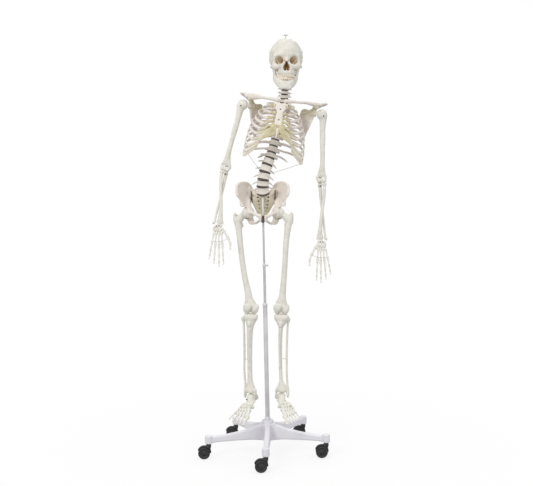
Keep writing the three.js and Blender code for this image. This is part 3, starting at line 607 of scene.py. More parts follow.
# ---- materials
class Paint:
    """A procedural material built node by node."""

    def __init__(self, name):
        self.material = bpy.data.materials.new(name)
        self.material.use_nodes = True
        self.tree = self.material.node_tree
        self.shader = self.tree.nodes["Principled BSDF"]
        coordinates = self.node("ShaderNodeTexCoord")
        self.place = coordinates.outputs["Object"]

    def node(self, kind, **settings):
        made = self.tree.nodes.new(kind)
        for key, value in settings.items():
            setattr(made, key, value)
        return made

    def link(self, source, target):
        self.tree.links.new(source, target)

    def noise(self, scale, detail, roughness=0.55, stretch=(1, 1, 1)):
        texture = self.node("ShaderNodeTexNoise")
        texture.inputs["Scale"].default_value = scale
        texture.inputs["Detail"].default_value = detail
        texture.inputs["Roughness"].default_value = roughness
        if stretch == (1, 1, 1):
            self.link(self.place, texture.inputs["Vector"])
        else:
            mapping = self.node("ShaderNodeMapping")
            mapping.inputs["Scale"].default_value = stretch
            self.link(self.place, mapping.inputs["Vector"])
            self.link(mapping.outputs["Vector"], texture.inputs["Vector"])
        return texture.outputs["Fac"]

    def ramp(self, source, stops):
        ramp = self.node("ShaderNodeValToRGB")
        band = ramp.color_ramp
        while len(band.elements) < len(stops):
            band.elements.new(0.5)
        for element, (place, colour) in zip(band.elements, stops):
            element.position = place
            element.color = (*colour, 1) if len(colour) == 3 else colour
        self.link(source, ramp.inputs["Fac"])
        return ramp.outputs["Color"]

    def mix(self, share, a, b, kind="MIX"):
        mixer = self.node("ShaderNodeMix", data_type="RGBA", blend_type=kind)
        for socket, value in zip((mixer.inputs[0], mixer.inputs[6], mixer.inputs[7]), (share, a, b)):
            if isinstance(value, bpy.types.NodeSocket):
                self.link(value, socket)
            elif isinstance(value, (int, float)):
                socket.default_value = value
            else:
                socket.default_value = (*value, 1)
        return mixer.outputs[2]

    def value(self, source, low, high, new_low=0.0, new_high=1.0):
        span = self.node("ShaderNodeMapRange")
        for key, number in zip(("From Min", "From Max", "To Min", "To Max"),
                (low, high, new_low, new_high)):
            span.inputs[key].default_value = number
        self.link(source, span.inputs["Value"])
        return span.outputs["Result"]

    def attribute(self, name):
        return self.node("ShaderNodeAttribute", attribute_name=name).outputs["Fac"]

    def bump(self, heights):
        """Bumps from (height, distance in mm, strength), one upon the other."""
        normal = None
        for height, distance, strength in heights:
            bump = self.node("ShaderNodeBump")
            bump.inputs["Distance"].default_value = distance * MM
            bump.inputs["Strength"].default_value = strength
            self.link(height, bump.inputs["Height"])
            if normal is not None:
                self.link(normal, bump.inputs["Normal"])
            normal = bump.outputs["Normal"]
        self.link(normal, self.shader.inputs["Normal"])

    def finish(self, colour, roughness, **fixed):
        self.link(colour, self.shader.inputs["Base Color"])
        self.link(roughness, self.shader.inputs["Roughness"])
        for key, value in fixed.items():
            self.shader.inputs[key.replace("_", " ")].default_value = value
        return self.material


def bone_paint(name, light, main, stain, painted_pit_shade, tint_and_shade_colours=None):
    """Cast plastic bone: mottled ivory, with painted shade in its hollows and a painted highlight on its
    ridges, fine pores and grain along the limbs.
    The second-colour pair gives the colours of half and full tint where the piece carries a second colour;
    on the jaw and the shoulder blades part of that is painted shade."""
    paint = Paint(name)
    broad = paint.ramp(paint.noise(38, 4, 0.6), [(0.30, stain), (0.48, main), (0.70, light)])
    # a second colour by its share; on the jaw and the shoulder blades this is partly painted shade
    if tint_and_shade_colours:
        share = paint.attribute("tint_and_shade")
        second = paint.ramp(share, [(0.5, tint_and_shade_colours[0]), (1.0, tint_and_shade_colours[1])])
        broad = paint.mix(paint.value(share, 0.0, 0.5), broad, second)
    speckle = paint.ramp(paint.noise(420, 2, 0.5), [(0.38, (0.80, 0.76, 0.68)), (0.55, (1, 1, 1))])
    colour = paint.mix(0.5, broad, speckle, "MULTIPLY")
    hollow = paint.attribute("hollow")
    # painted shade: the deeper a point sits in a hollow, the more its colour turns to the pit shade colour
    colour = paint.mix(paint.value(hollow, 0.10, 0.95, 0, 0.85), colour, painted_pit_shade)
    # painted highlight: ridges turn towards the light colour
    painted_ridge_highlight = paint.value(hollow, -0.9, -0.12, 0.35, 0)
    colour = paint.mix(painted_ridge_highlight, colour, light)
    grain = paint.noise(150, 5, 0.65, (1, 1, 0.35))
    pores = paint.ramp(paint.noise(900, 2, 0.5), [(0.30, (0, 0, 0)), (0.46, (1, 1, 1))])
    paint.bump([(grain, 0.5, 0.45), (pores, 0.18, 0.30)])
    rough = paint.value(paint.noise(90, 3), 0.3, 0.75, 0.40, 0.62)
    return paint.finish(colour, rough, Specular_IOR_Level=0.42)


def cartilage_paint():
    """Flexible cartilage: khaki cream, smoother than bone, clouded lengthwise, with painted shade in its
    hollows.
    """
    paint = Paint("costal_cartilage")
    cloud = paint.ramp(paint.noise(70, 4, 0.6),
        [(0.28, (0.50, 0.44, 0.25)), (0.52, (0.64, 0.57, 0.36)), (0.75, (0.76, 0.69, 0.48))])
    pale = paint.ramp(paint.noise(60, 4, 0.6), [(0.3, (0.80, 0.74, 0.60)), (0.7, (0.90, 0.85, 0.74))])
    cloud = paint.mix(paint.attribute("tint_and_shade"), cloud, pale)
    # painted shade: hollows turn dark brown
    colour = paint.mix(paint.value(paint.attribute("hollow"), 0.1, 0.9, 0, 0.6), cloud, (0.32, 0.26, 0.16))
    paint.bump([(paint.noise(260, 3), 0.3, 0.35)])
    return paint.finish(colour, paint.value(paint.noise(120, 2), 0.3, 0.7, 0.34, 0.5),
        Specular_IOR_Level=0.5)


def rubber_paint():
    """Discs: dark grey-brown soft plastic with faint fibres round the rim."""
    paint = Paint("disc_rubber")
    cloud = paint.ramp(paint.noise(160, 4), [(0.3, (0.060, 0.045, 0.036)), (0.7, (0.135, 0.108, 0.088))])
    paint.bump([(paint.noise(500, 3, 0.6, (1, 1, 5)), 0.3, 0.5)])
    return paint.finish(cloud, paint.value(paint.noise(200, 2), 0.3, 0.7, 0.55, 0.8))


def steel_paint(name, tone, stretch, metal):
    """Plated steel drawn along one axis, with fine scratches and slight clouding."""
    paint = Paint(name)
    streak = paint.noise(700, 3, 0.6, stretch)
    cloud = paint.noise(14, 2)
    colour = paint.mix(paint.value(cloud, 0.35, 0.7), tone, tuple(0.82 * value for value in tone))
    rough = paint.value(streak, 0.3, 0.7, 0.30, 0.46)
    paint.bump([(streak, 0.05, 0.25)])
    return paint.finish(colour, rough, Metallic=metal)


def stand_paint():
    """Powder-coated base: faintly lavender white with a very fine orange peel, and painted shade in its
    hollows.
    """
    paint = Paint("stand_white")
    cloud = paint.ramp(paint.noise(9, 3), [(0.3, (0.80, 0.79, 0.845)), (0.7, (0.87, 0.86, 0.905))])
    # painted shade: hollows turn grey lavender
    painted_hollow_shade = paint.value(paint.attribute("hollow"), 0.1, 0.9, 0, 0.5)
    colour = paint.mix(painted_hollow_shade, cloud, (0.50, 0.49, 0.54))
    paint.bump([(paint.noise(650, 2), 0.12, 0.35)])
    return paint.finish(colour, paint.value(paint.noise(60, 2), 0.3, 0.7, 0.30, 0.42), Coat_Weight=0.15)


def black_paint(name, dark, light, low, high):
    """Moulded black plastic or rubber with a fine matt texture and scuffs."""
    paint = Paint(name)
    cloud = paint.ramp(paint.noise(120, 4, 0.7), [(0.35, dark), (0.72, light)])
    paint.bump([(paint.noise(1200, 2), 0.1, 0.5)])
    return paint.finish(cloud, paint.value(paint.noise(45, 4), 0.3, 0.7, low, high))


# each bone paint's colours are the light, main and stain tones of its mottle, then the painted shade of its
# hollows; the light tone also paints the highlight on ridges
BONE = bone_paint("bone_ivory", (0.91, 0.87, 0.83), (0.86, 0.81, 0.76), (0.77, 0.71, 0.64),
    (0.30, 0.235, 0.17))
LONG_BONE = bone_paint("bone_pale", (0.90, 0.885, 0.83), (0.85, 0.83, 0.765), (0.78, 0.75, 0.67),
    (0.30, 0.22, 0.13))
RIB_BONE = bone_paint("bone_rib", (0.92, 0.87, 0.83), (0.86, 0.80, 0.745), (0.76, 0.69, 0.62),
    (0.30, 0.22, 0.16))
BREAST_BONE = bone_paint("bone_breast", (0.95, 0.90, 0.855), (0.915, 0.86, 0.80), (0.83, 0.76, 0.69),
    (0.33, 0.25, 0.18))
# shoulder blade paint: its second colours are olive, the darker one also painted shade under the collar
# bones
BLADE_BONE = bone_paint("bone_blade", (0.92, 0.87, 0.83), (0.86, 0.80, 0.745), (0.76, 0.69, 0.62),
    (0.30, 0.22, 0.16), tint_and_shade_colours=((0.68, 0.63, 0.49), (0.52, 0.47, 0.32)))
# skull paint: its second colours are tan and brown for the eye sockets and the nose, and its tan half tint
# is also the painted shade on the jaw's inner faces
SKULL_BONE = bone_paint("bone_skull", (0.90, 0.885, 0.83), (0.85, 0.825, 0.76), (0.77, 0.735, 0.65),
    (0.40, 0.29, 0.18), ((0.83, 0.72, 0.57), (0.52, 0.33, 0.14)))
PELVIS_BONE = bone_paint("bone_pelvis", (0.93, 0.88, 0.83), (0.90, 0.84, 0.78), (0.83, 0.76, 0.69),
    (0.68, 0.60, 0.51))
SACRUM_BONE = bone_paint("bone_sacrum", (0.87, 0.82, 0.74), (0.80, 0.73, 0.64), (0.69, 0.62, 0.51),
    (0.22, 0.17, 0.10), ((0.75, 0.71, 0.57), (0.66, 0.62, 0.45)))
TOOTH = bone_paint("tooth_enamel", (0.93, 0.87, 0.76), (0.88, 0.79, 0.66), (0.80, 0.68, 0.54),
    (0.46, 0.31, 0.2))
CARTILAGE = cartilage_paint()
RUBBER = rubber_paint()
POLE_STEEL = steel_paint("pole_steel", (0.79, 0.78, 0.81), (1, 1, 0.02), 0.2)
FITTING_STEEL = steel_paint("fitting_steel", (0.66, 0.66, 0.65), (1, 1, 1), 0.85)
WHITE = stand_paint()
HOOD_BLACK = black_paint("hood_black", (0.012, 0.012, 0.013), (0.035, 0.035, 0.037), 0.30, 0.48)
TYRE_BLACK = black_paint("tyre_black", (0.016, 0.016, 0.017), (0.05, 0.049, 0.048), 0.5, 0.75)
DARK_PIN = black_paint("pin_dark", (0.03, 0.027, 0.024), (0.09, 0.08, 0.07), 0.35, 0.6)
NYLON = bone_paint("nylon_line", (0.50, 0.50, 0.49), (0.40, 0.40, 0.39), (0.32, 0.32, 0.31),
    (0.2, 0.2, 0.19))


# ---- stand
def star_base():
    """Five legs, deep at the hub and tapering outwards, each with a raised boss, on a collared hub."""
    shell = Clay((-300, -300, 56), (300, 300, 146), 2.2)
    # hub and its collar
    shell.add(puck((0, 0), 30, 30, 62, 126, edge=4), 2)
    shell.add(puck((0, 0), 25, 25, 100, 140, edge=3), 3)
    # five legs, each with a boss and a hole for the caster's stem
    for k in range(LEG_COUNT):
        angle = FIRST_LEG_ANGLE + 2 * math.pi * k / LEG_COUNT
        axes = turn("z", math.degrees(angle))
        arm = Place(axes=[axes[0], np.array([0, 0, 1.0]), np.cross(axes[0], (0, 0, 1))])
        outline = [(0, 128), (40, 122), (90, 109), (160, 98), (225, 93), (258, 91), (266, 80), (258, 66),
            (225, 67), (150, 66), (80, 63), (0, 61)]
        leg = sheet(arm, outline, lambda u, v: 31 - 0.035 * u - 0.16 * (v - 62) * (1 - u / 420), edge=7)
        shell.add(leg, 9)
        end = axes[0] * STEM_CIRCLE
        shell.add(puck(end, 15.5, 15.5, 63, 97, edge=3), 4)
        shell.cut(puck(end, 6.6, 6.6, 50, 84, edge=0.5), 1)
    # hole for the pole
    shell.cut(puck((0, 0), 9.9, 9.9, 74, 160, edge=0.5), 1)
    return shell.skin()


def caster_shell():
    """The hood over a twin wheel: a rounded guard, a web between the wheels, a neck and a stem."""
    axle = np.array((-CASTER_TRAIL, 0, WHEEL_RADIUS))
    hood = Clay((-56, -26, -4), (22, 26, 92), 1.1)
    # guard and neck
    hood.add(ball(axle + (0, 0, 1), (29.5, 22.5, 29.5)), 1)
    hood.add(limb([(axle[0] + 14, 0, 40, 10), (-1, 0, 52, 11), (0, 0, 60, 9)], Y), 6)
    # open below and behind, with room for each wheel
    hood.cut(brick(axle + (0, 0, -34), (40, 30, 32)), 1)
    hood.cut(brick(axle + (-30, 0, -8), (14, 30, 16), axes=turn("y", -35)), 1)
    wheel_room = puck((0, 0), WHEEL_RADIUS + 1.2, WHEEL_RADIUS + 1.2, 4.2, 30, edge=1)
    for side in (-1, 1):
        hood.cut(on_axle(wheel_room, axle, side), 0.5)
    # web between the wheels, axle, collar and stem
    hood.add(brick(axle + (4, 0, 4), (16, 3, 18), 1), 1)
    hood.add(limb([(axle[0], -2, axle[2], 7), (axle[0], 2, axle[2], 7)], X), 1)
    hood.add(puck((0, 0), 8.5, 8.5, 52, 63, edge=1.5), 1)
    hood.add(puck((0, 0), 5.4, 5.4, 60, 83, edge=1), 0.5)
    return hood.skin()


def on_axle(shape, axle, side):
    """A shape about Z laid along +Y or -Y from an axle's middle."""
    low = axle - (27, 31, 27)
    high = axle + (27, 31, 27)

    def distance(x, y, z):
        return shape.distance(x - axle[0], z - axle[2], side * (y - axle[1])) + 0 * y

    return Shape(low, high, distance)


def caster_wheel_pair():
    """Two tyres with rounded shoulders, a stepped hub face and a domed cap, on one axle."""
    r = WHEEL_RADIUS
    profile = [(5, 4.6), (r - 6, 4.6), (r - 3.5, 6.2), (r - 0.7, 7.4), (r, 9.5), (r, 14.5), (r - 0.9, 17.2),
        (r - 3.2, 18.4), (r - 5.5, 18.4), (r - 6.2, 16.9), (9.5, 16.4), (8.5, 18.0), (5.5, 19.4),
        (1.2, 19.8)]
    out = lathe(profile, 36, axes=TO_BACK)
    back = (out[0] * (1, -1, 1), [tuple(face)[::-1] for face in out[1]])
    axle = lathe([(3, -5), (3, 5)], 16, axes=TO_BACK)
    return joined([out, back, axle])


def build_stand():
    piece("base_star_cast", star_base(), WHITE, "stand", ["base_star"])
    lower = lathe(rounded([(0.5, 74), (9.25, 74), (9.25, TUBE_TOP - 4), (8.4, TUBE_TOP - 2),
        (5.6, TUBE_TOP), (0.5, TUBE_TOP)], 0.6), 40)
    upper = lathe(rounded([(0.5, 630), (5.6, 630), (5.6, 800), (7.0, 800.4), (7.0, 812.4), (5.2, 813),
        (0.5, 813)], 0.4), 32)
    collar = lathe(rounded([(9.6, 139), (12.5, 139), (12.5, 150), (10.5, 153), (9.6, 153)], 0.8), 40)
    ferrule = lathe(rounded([(5.8, 626), (10.2, 626), (10.2, 640), (7.5, 645), (5.8, 645)], 0.8), 40)
    piece("stand_pole_tube", joined([lower, upper, ferrule]), POLE_STEEL, "stand", ["stand_pole"],
        cavity=False)
    piece("pole_collar", collar, WHITE, "stand", ())
    rod = lathe([(0.4, 753), (4.3, 753.5), (4.3, ROD_TOP - 2), (3.6, ROD_TOP), (0.4, ROD_TOP)], 28)
    piece("support_rod_bar", rod, POLE_STEEL, "stand", ["support_rod"], cavity=False)
    knob = lathe([(1.7, 4.6), (1.7, 11.6), (4.6, 11.8), (5.0, 12.4), (5.0, 16.4), (4.4, 17), (1, 17.2)], 20,
        axes=TO_SIDE, centre=(0, 0, CLAMP_HEIGHT))
    piece("thumb_screw_knob", knob, POLE_STEEL, "thumb_screw", ["thumb_screw"])
    hood, wheels = caster_shell(), caster_wheel_pair()
    for k in range(LEG_COUNT):
        angle = FIRST_LEG_ANGLE + 2 * math.pi * k / LEG_COUNT
        stem = Place((STEM_CIRCLE * math.cos(angle), STEM_CIRCLE * math.sin(angle), 0))
        number = k + 1
        piece(f"caster_hood_shell_{number}", hood, HOOD_BLACK, f"caster_swivel_{number}",
            [f"caster_hood_{number}"], stem)
        piece(f"caster_tyres_{number}", wheels, TYRE_BLACK, f"caster_roll_{number}",
            [f"caster_wheels_{number}"], stem.at((-CASTER_TRAIL, 0, WHEEL_RADIUS)),
            cavity=False)


# ---- pelvis
def sacrum_skin():
    """A curved wedge with two wings, four pairs of holes, ridges between them and the tail bones below."""
    clay = Clay((-64, -8, 996), (68, 66, 1144), 1.4)
    # body, from the top face down to the tail
    clay.add(limb([(3, 18, 1104, 27, 15), (3, 22, 1092, 43, 14), (2, 29, 1076, 46, 11),
        (1, 36, 1060, 42, 9), (0, 41, 1045, 35, 7.5), (-1, 44, 1030, 27, 6.5), (-1, 43, 1018, 16, 5.5)]), 3)
    clay.add(puck((3, 16), 25, 15, 1096, 1107, edge=3), 5)
    for side in (-1, 1):
        clay.add(limb([(3 + side * 20, 18, 1100, 12, 13), (3 + side * 36, 20, 1112, 14, 12),
            (3 + side * 46, 24, 1121, 9, 10)], FRONT), 6)
        clay.add(limb([(3 + side * 45, 27, 1118, 9, 8), (3 + side * 43, 30, 1092, 9, 8),
            (3 + side * 39, 38, 1064, 7, 5)], FRONT), 6)
        clay.add(limb([(3 + side * 14, 38, 1108, 4, 5), (3 + side * 15, 34, 1117, 4)]), 3)
    # four pairs of holes, and the ridges between them
    for k, (z, y) in enumerate([(1094, 16), (1077, 22), (1061, 30), (1046, 36)]):
        spread, size = 21 - 1.8 * k, 4.6 - 0.4 * k
        for side in (-1, 1):
            clay.cut(limb([(2 + side * (spread + 3), y - 16, z - 2, size + 1.4, size),
                (2 + side * (spread - 1), y + 9, z + 1, size - 2)]), 2.4)
        clay.add(limb([(2 - spread + 4, y - 2.5 + k * 0.4, z - 9, 1.6),
            (2 + spread - 4, y - 2.5 + k * 0.4, z - 9, 1.6)], Z), 2)
    # hollow front
    clay.cut(ball((1, -30, 1062), (26, 50, 44)), 8)
    # crest behind, with its knobs
    crest = [(3, 38, 1106, 2.5, 7), (2, 46, 1088, 2.5, 6), (0, 50, 1070, 2.5, 5), (-1, 53, 1050, 2, 4)]
    clay.add(limb(crest, steps=8), 4)
    for z, y in [(1100, 43), (1084, 49), (1068, 52), (1054, 54)]:
        clay.add(ball((1, y, z), (3, 5, 4.5)), 3)
    # canal, tail bones, and the hole that the rod stands in
    clay.cut(ball((3, 33, 1112), (9, 6, 10)), 2)
    for z, y, half in [(1013, 41, 9), (1006, 38, 6.5)]:
        clay.add(ball((-1, y, z), (half, 4.5, 5)), 1.5)
    clay.cut(limb([(0, 0, 1050, 5.2), (0, 0, 1094, 5.2)]), 1)
    return clay.skin()


def sacrum_tint(points):
    """The olive cast of the front hollow, fading into the wings and the upper rim."""
    x, _, z = points.T
    across = np.clip(1.3 - np.abs(x - 1) / 36, 0, 1)
    up = np.clip((1112 - z) / 26, 0, 1)
    return across * up


def hip_skin():
    """The left hip bone about the centre of its hip joint."""
    clay = Clay((-72, -62, -68), (66, 72, 146), 1.8)
    lean = np.array([0.457, -0.889, 0])
    wing = Place((0, 6, 0), [lean, Z, np.cross(lean, Z)])

    def bow(u, v):
        rise = np.interp(v, (8, 45, 82, 112, 131), (2, 8, 14, 18, 19))
        flare = 1 + 0.3 * np.clip(u / 50, -1, 1)
        return -rise * flare + 5 * np.clip((u / 58) ** 2, 0, 1) - 1

    outline = [(18, 2), (30, 34), (41, 53), (58, 76), (58, 96), (46, 115), (20, 128), (-16, 130),
        (-42, 124), (-56, 108), (-54, 88), (-50, 66), (-42, 48), (-32, 32), (-26, 18), (-24, 4)]

    def thickness(u, v):
        return 5.5 + 9 * np.clip((50 - v) / 44, 0, 1) + 9 * np.clip((-28 - u) / 26, 0, 1)

    clay.add(sheet(wing, outline, thickness, bow, edge=3), 1)
    # thick crest round the wing
    crest_uv = [(58, 76), (60, 90), (54, 106), (42, 118), (20, 128), (-16, 130), (-40, 124), (-53, 108),
        (-51, 92)]
    crest = [wing.out((u * 0.97, v - 2, float(bow(u, v)))) for u, v in crest_uv]
    thick = [3.6, 4, 4.4, 4.8, 4.2, 4.2, 4.8, 5.6, 4]
    clay.add(limb([(*point, size) for point, size in zip(crest, thick)], steps=5), 8)
    # rear column, from the wing down to the notch
    clay.add(limb([(*wing.out((-44, 98, float(bow(-44, 98)))), 7, 12),
        (*wing.out((-43, 76, float(bow(-43, 76)))), 8, 12), (-8, 30, 54, 11, 12), (-7, 16, 34, 11, 12),
        (-10, 0, 12, 11, 12)]), 14)
    # lower front spine, then the block round the socket
    clay.add(limb([(24, -19, 40, 6), (18, -18, 22, 8)]), 7)
    clay.add(ball((-4, 2, 0), (28, 29, 29)), 8)
    # upper bar and body of the pubic bone
    clay.add(limb([(-12, -16, 6, 10, 11), (-34, -40, -4, 7, 8), (-54, -50, -14, 9, 7)], Z), 7)
    clay.add(limb([(-58, -50, -12, 14, 6), (-58, -49, -30, 10, 6)], Z), 4)
    # sitting bone with its knob, the lower bar and the rear spine
    clay.add(limb([(-10, 16, -10, 14, 12), (-13, 24, -28, 13, 12), (-18, 19, -38, 12)]), 7)
    clay.add(ball((-15, 24, -34), (12, 13, 14)), 5)
    clay.add(limb([(-20, 12, -43, 7, 9), (-38, -18, -42, 5, 7), (-54, -44, -30, 5, 8)], Z), 5)
    clay.add(limb([(-12, 30, -4, 4, 6), (-24, 38, -8, 2, 3)], Z), 5)
    # socket with its slanted rim and notch, and the flat face towards the disc
    clay.cut(ball((0, 0, 0), 25.3), 3)
    clay.cut(brick((40, -6, -4), (29, 34, 34), 3, turn("z", -14) @ turn("y", -10)), 4)
    clay.cut(ball((-2, -10, -24), (6, 8, 12)), 3)
    clay.cut(brick((-86, -50, -20), (24.2, 30, 40), 1), 1)
    return clay.skin()


def build_pelvis():
    piece("sacrum_bone", sacrum_skin(), SACRUM_BONE, "pelvis", ["sacrum"], tint_and_shade=sacrum_tint)
    hip = hip_skin()
    for name in SIDES:
        piece(f"hip_bone_{name}_cast", hip, PELVIS_BONE, "pelvis", [f"hip_bone_{name}"],
            place=Place(HIP[name]), side=SIGN[name])
    pad = Clay((-12, -66, 982), (12, -36, 1032), 0.9)
    pad.add(puck((-1.5, -51), 6.8, 10.5, 988, 1018, edge=3.5), 0)
    seam = Clay((-62, 4, 1060), (66, 44, 1134), 1.0)
    for side in (-1, 1):
        seam.add(limb([(3 + side * 51.5, 15, 1122, 1.6, 7), (3 + side * 51, 19, 1098, 1.6, 7),
            (3 + side * 48, 27, 1072, 1.5, 7)]), 0)
    piece("sacroiliac_pads", seam.skin(), RUBBER, "pelvis", ())
    piece("symphysis_disc", pad.skin(), RUBBER, "pelvis", ["pubic_symphysis"])


# ---- spine
def disc_skin(half_width, half_depth, height):
    """A disc a little narrower than the bones it parts, thinner at its sides, its rim bulging."""
    profile = []
    for angle in np.linspace(-80, 80, 7):
        bulge = math.cos(math.radians(angle))
        profile.append((0.9 + 0.1 * bulge, math.sin(math.radians(angle))))
    points, faces = lathe(profile, 36)
    points = points * (half_width, half_depth, height / 2)
    points[:, 2] *= 1 - 0.35 * (points[:, 0] / half_width) ** 2
    return points, faces


def drooped(skin, amount, wide):
    """Lets the lower front edge hang in a curve, as on a disc that slopes forward."""
    points, faces = skin
    points = np.array(points, float)
    x, y, z = points.T
    share = np.clip(1 - (x / wide) ** 2, 0, 1) * np.clip(1 - z / 16, 0, 1) * np.clip((14 - y) / 20, 0, 1)
    points[:, 2] = z - amount * share
    return points, faces


def vertebra_skin(kind, height, half_width, half_depth, space, droop=0.0, crowded=False):
    """A vertebra above its disc: waisted body, arch round the canal, joint facets, side and rear spikes.
    droop is how steeply a chest vertebra's rear spike hangs; crowded keeps the arch low, which leaves the
    bone above room to lean back."""
    lumbar, thoracic = kind == "lumbar", kind == "thoracic"
    reach = 66 if lumbar else 62
    clay = Clay((-46, -26, -20), (46, reach, height + 14), 1.35)
    top, bottom = height - space / 2, space / 2
    # body
    clay.add(puck((0, 0), half_width, half_depth, bottom, top, waist=0.13, edge=2.2), 0)
    # arch round the canal
    pedicle = half_width * (0.62 if not thoracic else 0.55)
    rear = half_depth + (20 if lumbar else 15)
    lift = top - 0.34 * (top - bottom)
    bar = 3.4 if not lumbar else 4.2
    clay.add(limb([(pedicle, half_depth * 0.55, lift, bar, bar + 0.6),
        (pedicle + 1, half_depth + 9, lift - 1, bar, bar + 1.4)], mirror=True), 3)
    arch = 4.6 if crowded else 7.5
    clay.add(limb([(pedicle, half_depth + 9, lift - 1, min(bar + 2, arch), 3.4),
        (pedicle * 0.5, rear - 3, lift - 5, arch, 3),
        (0, rear, height * (0.38 if crowded else 0.45), arch + 0.4, 3)], Z, mirror=True), 3)
    if kind == "neck":
        facet = (half_width + 4, half_depth + 2)
        clay.add(limb([(facet[0] - 1, facet[1], 5.5, 4.5, 5), (facet[0], facet[1], height - 9.5, 4.5, 5)],
            mirror=True), 2)
        clay.add(limb([(half_width * 0.8, -1, lift - 2, 3), (half_width + 11, 2, lift - 5, 2.4, 4)], Z,
            mirror=True), 2)
        clay.cut(limb([(half_width + 3, 1.5, -4, 2.1), (half_width + 3, 1.5, height + 3, 2.1)],
            mirror=True), 1)
        clay.add(limb([(0, rear - 2, height * 0.42, 3, 4), (0, rear + 13, height * 0.25, 3, 3.2)]), 3)
        clay.add(limb([(2, rear + 10, height * 0.25, 2, 2.4), (4.5, rear + 15, height * 0.15, 2)],
            mirror=True), 2)
    if thoracic:
        clay.add(limb([(pedicle, half_depth + 9, lift - 1, 4.5, 5),
            (28, half_depth + 20, lift + 2, 4.2, 4.8)], mirror=True), 3)
        clay.add(ball((28.5, half_depth + 20, lift + 2), (5, 4.5, 6), mirror=True), 2)
        clay.add(limb([(0, rear - 3, height * 0.45, 3, 6),
            (0, rear + 11, height * 0.45 - droop * 0.9, 2.4, 5),
            (0, rear + 22 + droop * 0.4, height * 0.45 - droop * 1.8, 2.2, 3.6)], steps=5), 3)
    if lumbar:
        clay.add(limb([(pedicle, half_depth + 6, lift - 1, 4, 5),
            (half_width + 4, half_depth + 6, lift - 5, 2.6, 3.2),
            (half_width + 11, half_depth + 4, lift - 10, 2.0, 2.8),
            (half_width + 16, half_depth + 2, lift - 14, 1.4, 2)], Y, mirror=True), 2)
        clay.add(limb([(0, rear - 4, height * 0.42, 3, 7), (0, rear + 8, height * 0.36, 2.4, 7.2),
            (0, rear + 20, height * 0.32, 3.4, 6.6)], steps=4), 3)
    # joint facets above and below
    facet_x = pedicle * (0.98 if lumbar else 0.9)
    if kind != "neck":
        clay.add(limb([(facet_x, half_depth + 10, lift, 4, 3.6),
            (facet_x + 1, half_depth + 8, height - (8 if crowded else 2), 3.6, 2.6)], mirror=True), 2)
        clay.add(limb([(facet_x * 0.75, half_depth + 15, height * 0.5, 3.8, 3.2),
            (facet_x * 0.78, half_depth + 15, 6, 3.4, 2.8)], mirror=True), 2)
    # canal
    hole = (half_depth + (9 if lumbar else 8), 9.5 if lumbar else 8.0, 7.2 if lumbar else 6.6)
    clay.cut(limb([(0, hole[0], -20, hole[1], hole[2]), (0, hole[0], height + 16, hole[1], hole[2])]), 2)
    return clay.skin()


def thoracic_half_width(level):
    """Half the width of a chest vertebra's body, counted up from the lowest."""
    return 21.5 - 0.68 * level


def spine_frame(low, high):
    """A frame at low with +Z towards high, its back side turned as a bone's."""
    up = np.asarray(high) - low
    return bone_place(low, np.asarray(low) - up)


def build_spine():
    for k in range(LUMBAR_COUNT):
        low, high = spine_point(k), spine_point(k + 1)
        height = np.linalg.norm(high - low)
        name = f"L{LUMBAR_COUNT - k}"
        place = spine_frame(low, high)
        wide = 28.5 - 0.9 * k
        droop, thick = (7, 6.6) if k == 0 else (1.5, 9.2)
        bone = drooped(vertebra_skin("lumbar", height, wide, 17, thick + 0.2), droop, wide)
        piece(f"vertebra_{name}_bone", bone, BONE, name, [f"vertebra_{name}"], place=place)
        disc = drooped(disc_skin(wide - 0.6, 16.6, thick), droop, wide)
        piece(f"disc_under_{name}", disc, RUBBER, name, place=place)
    for level in range(THORACIC_COUNT):
        low, high = THORACIC[level], THORACIC[level + 1]
        height = np.linalg.norm(high - low)
        place = spine_frame(low, high)
        wide = thoracic_half_width(level)
        deep = 15.5 - 0.42 * level
        space = 6.8 - 0.16 * level
        name = f"T{THORACIC_COUNT - level}"
        nodes = ["thoracic_spine"] if level == 0 else []
        piece(f"vertebra_{name}_bone",
            vertebra_skin("thoracic", height, wide, deep, space, min(3 * level, 12), name == "T1"), BONE,
            "thorax", nodes, place=place)
        piece(f"disc_under_{name}", disc_skin(wide - 0.7, deep - 0.5, space - 0.4), RUBBER, "thorax",
            place=place)
    bodies = ("neck_lower", "neck_middle", "neck_upper")
    for k in range(NECK_COUNT):
        index = LAST_THORACIC + k / 2
        low, high = spine_point(math.floor(index)), spine_point(math.floor(index) + 1)
        if k % 2 == 0:
            high = (low + high) / 2
        else:
            low = (low + high) / 2
        height = np.linalg.norm(high - low)
        body = bodies[k // 2]
        nodes = [body] if k % 2 == 0 else []
        place = spine_frame(low, high)
        name = f"C{LOWEST_NECK - k}"
        piece(f"vertebra_{name}_bone",
            vertebra_skin("neck", height, 17.5 - 0.4 * k, 9.4, 5.2, crowded=True), BONE, body, nodes,
            place=place)
        piece(f"disc_under_{name}", disc_skin(17.2 - 0.4 * k, 9.2, 5.2), RUBBER, body,
            place=place)
    low, high = spine_point(len(SPINE) - 2), spine_point(len(SPINE) - 1)
    clay = Clay((-38, -16, -4), (38, 34, 20), 1.2)
    clay.add(limb([(0, -11, 8, 5, 3.4), (12, -8, 8, 5, 3.6), (18, 2, 8, 7, 6.5), (14, 15, 8.5, 4.5, 3.6),
        (0, 22, 8.5, 5, 3.4)], Z, mirror=True), 1)
    clay.add(limb([(16, 3, 8, 8, 7), (30, 6, 7, 3.6, 4.4)], Z, mirror=True), 3)
    clay.add(ball((16, 3, 11), (8, 11, 4.6), mirror=True), 3)
    clay.cut(ball((26, 5, 7), (2.2, 2.6, 12), mirror=True), 1)
    clay.cut(ball((16, 2, 20), (8, 11, 5), mirror=True), 1.5)
    piece("atlas_bone", clay.skin(), BONE, "atlas", ["atlas"], place=spine_frame(low, high))


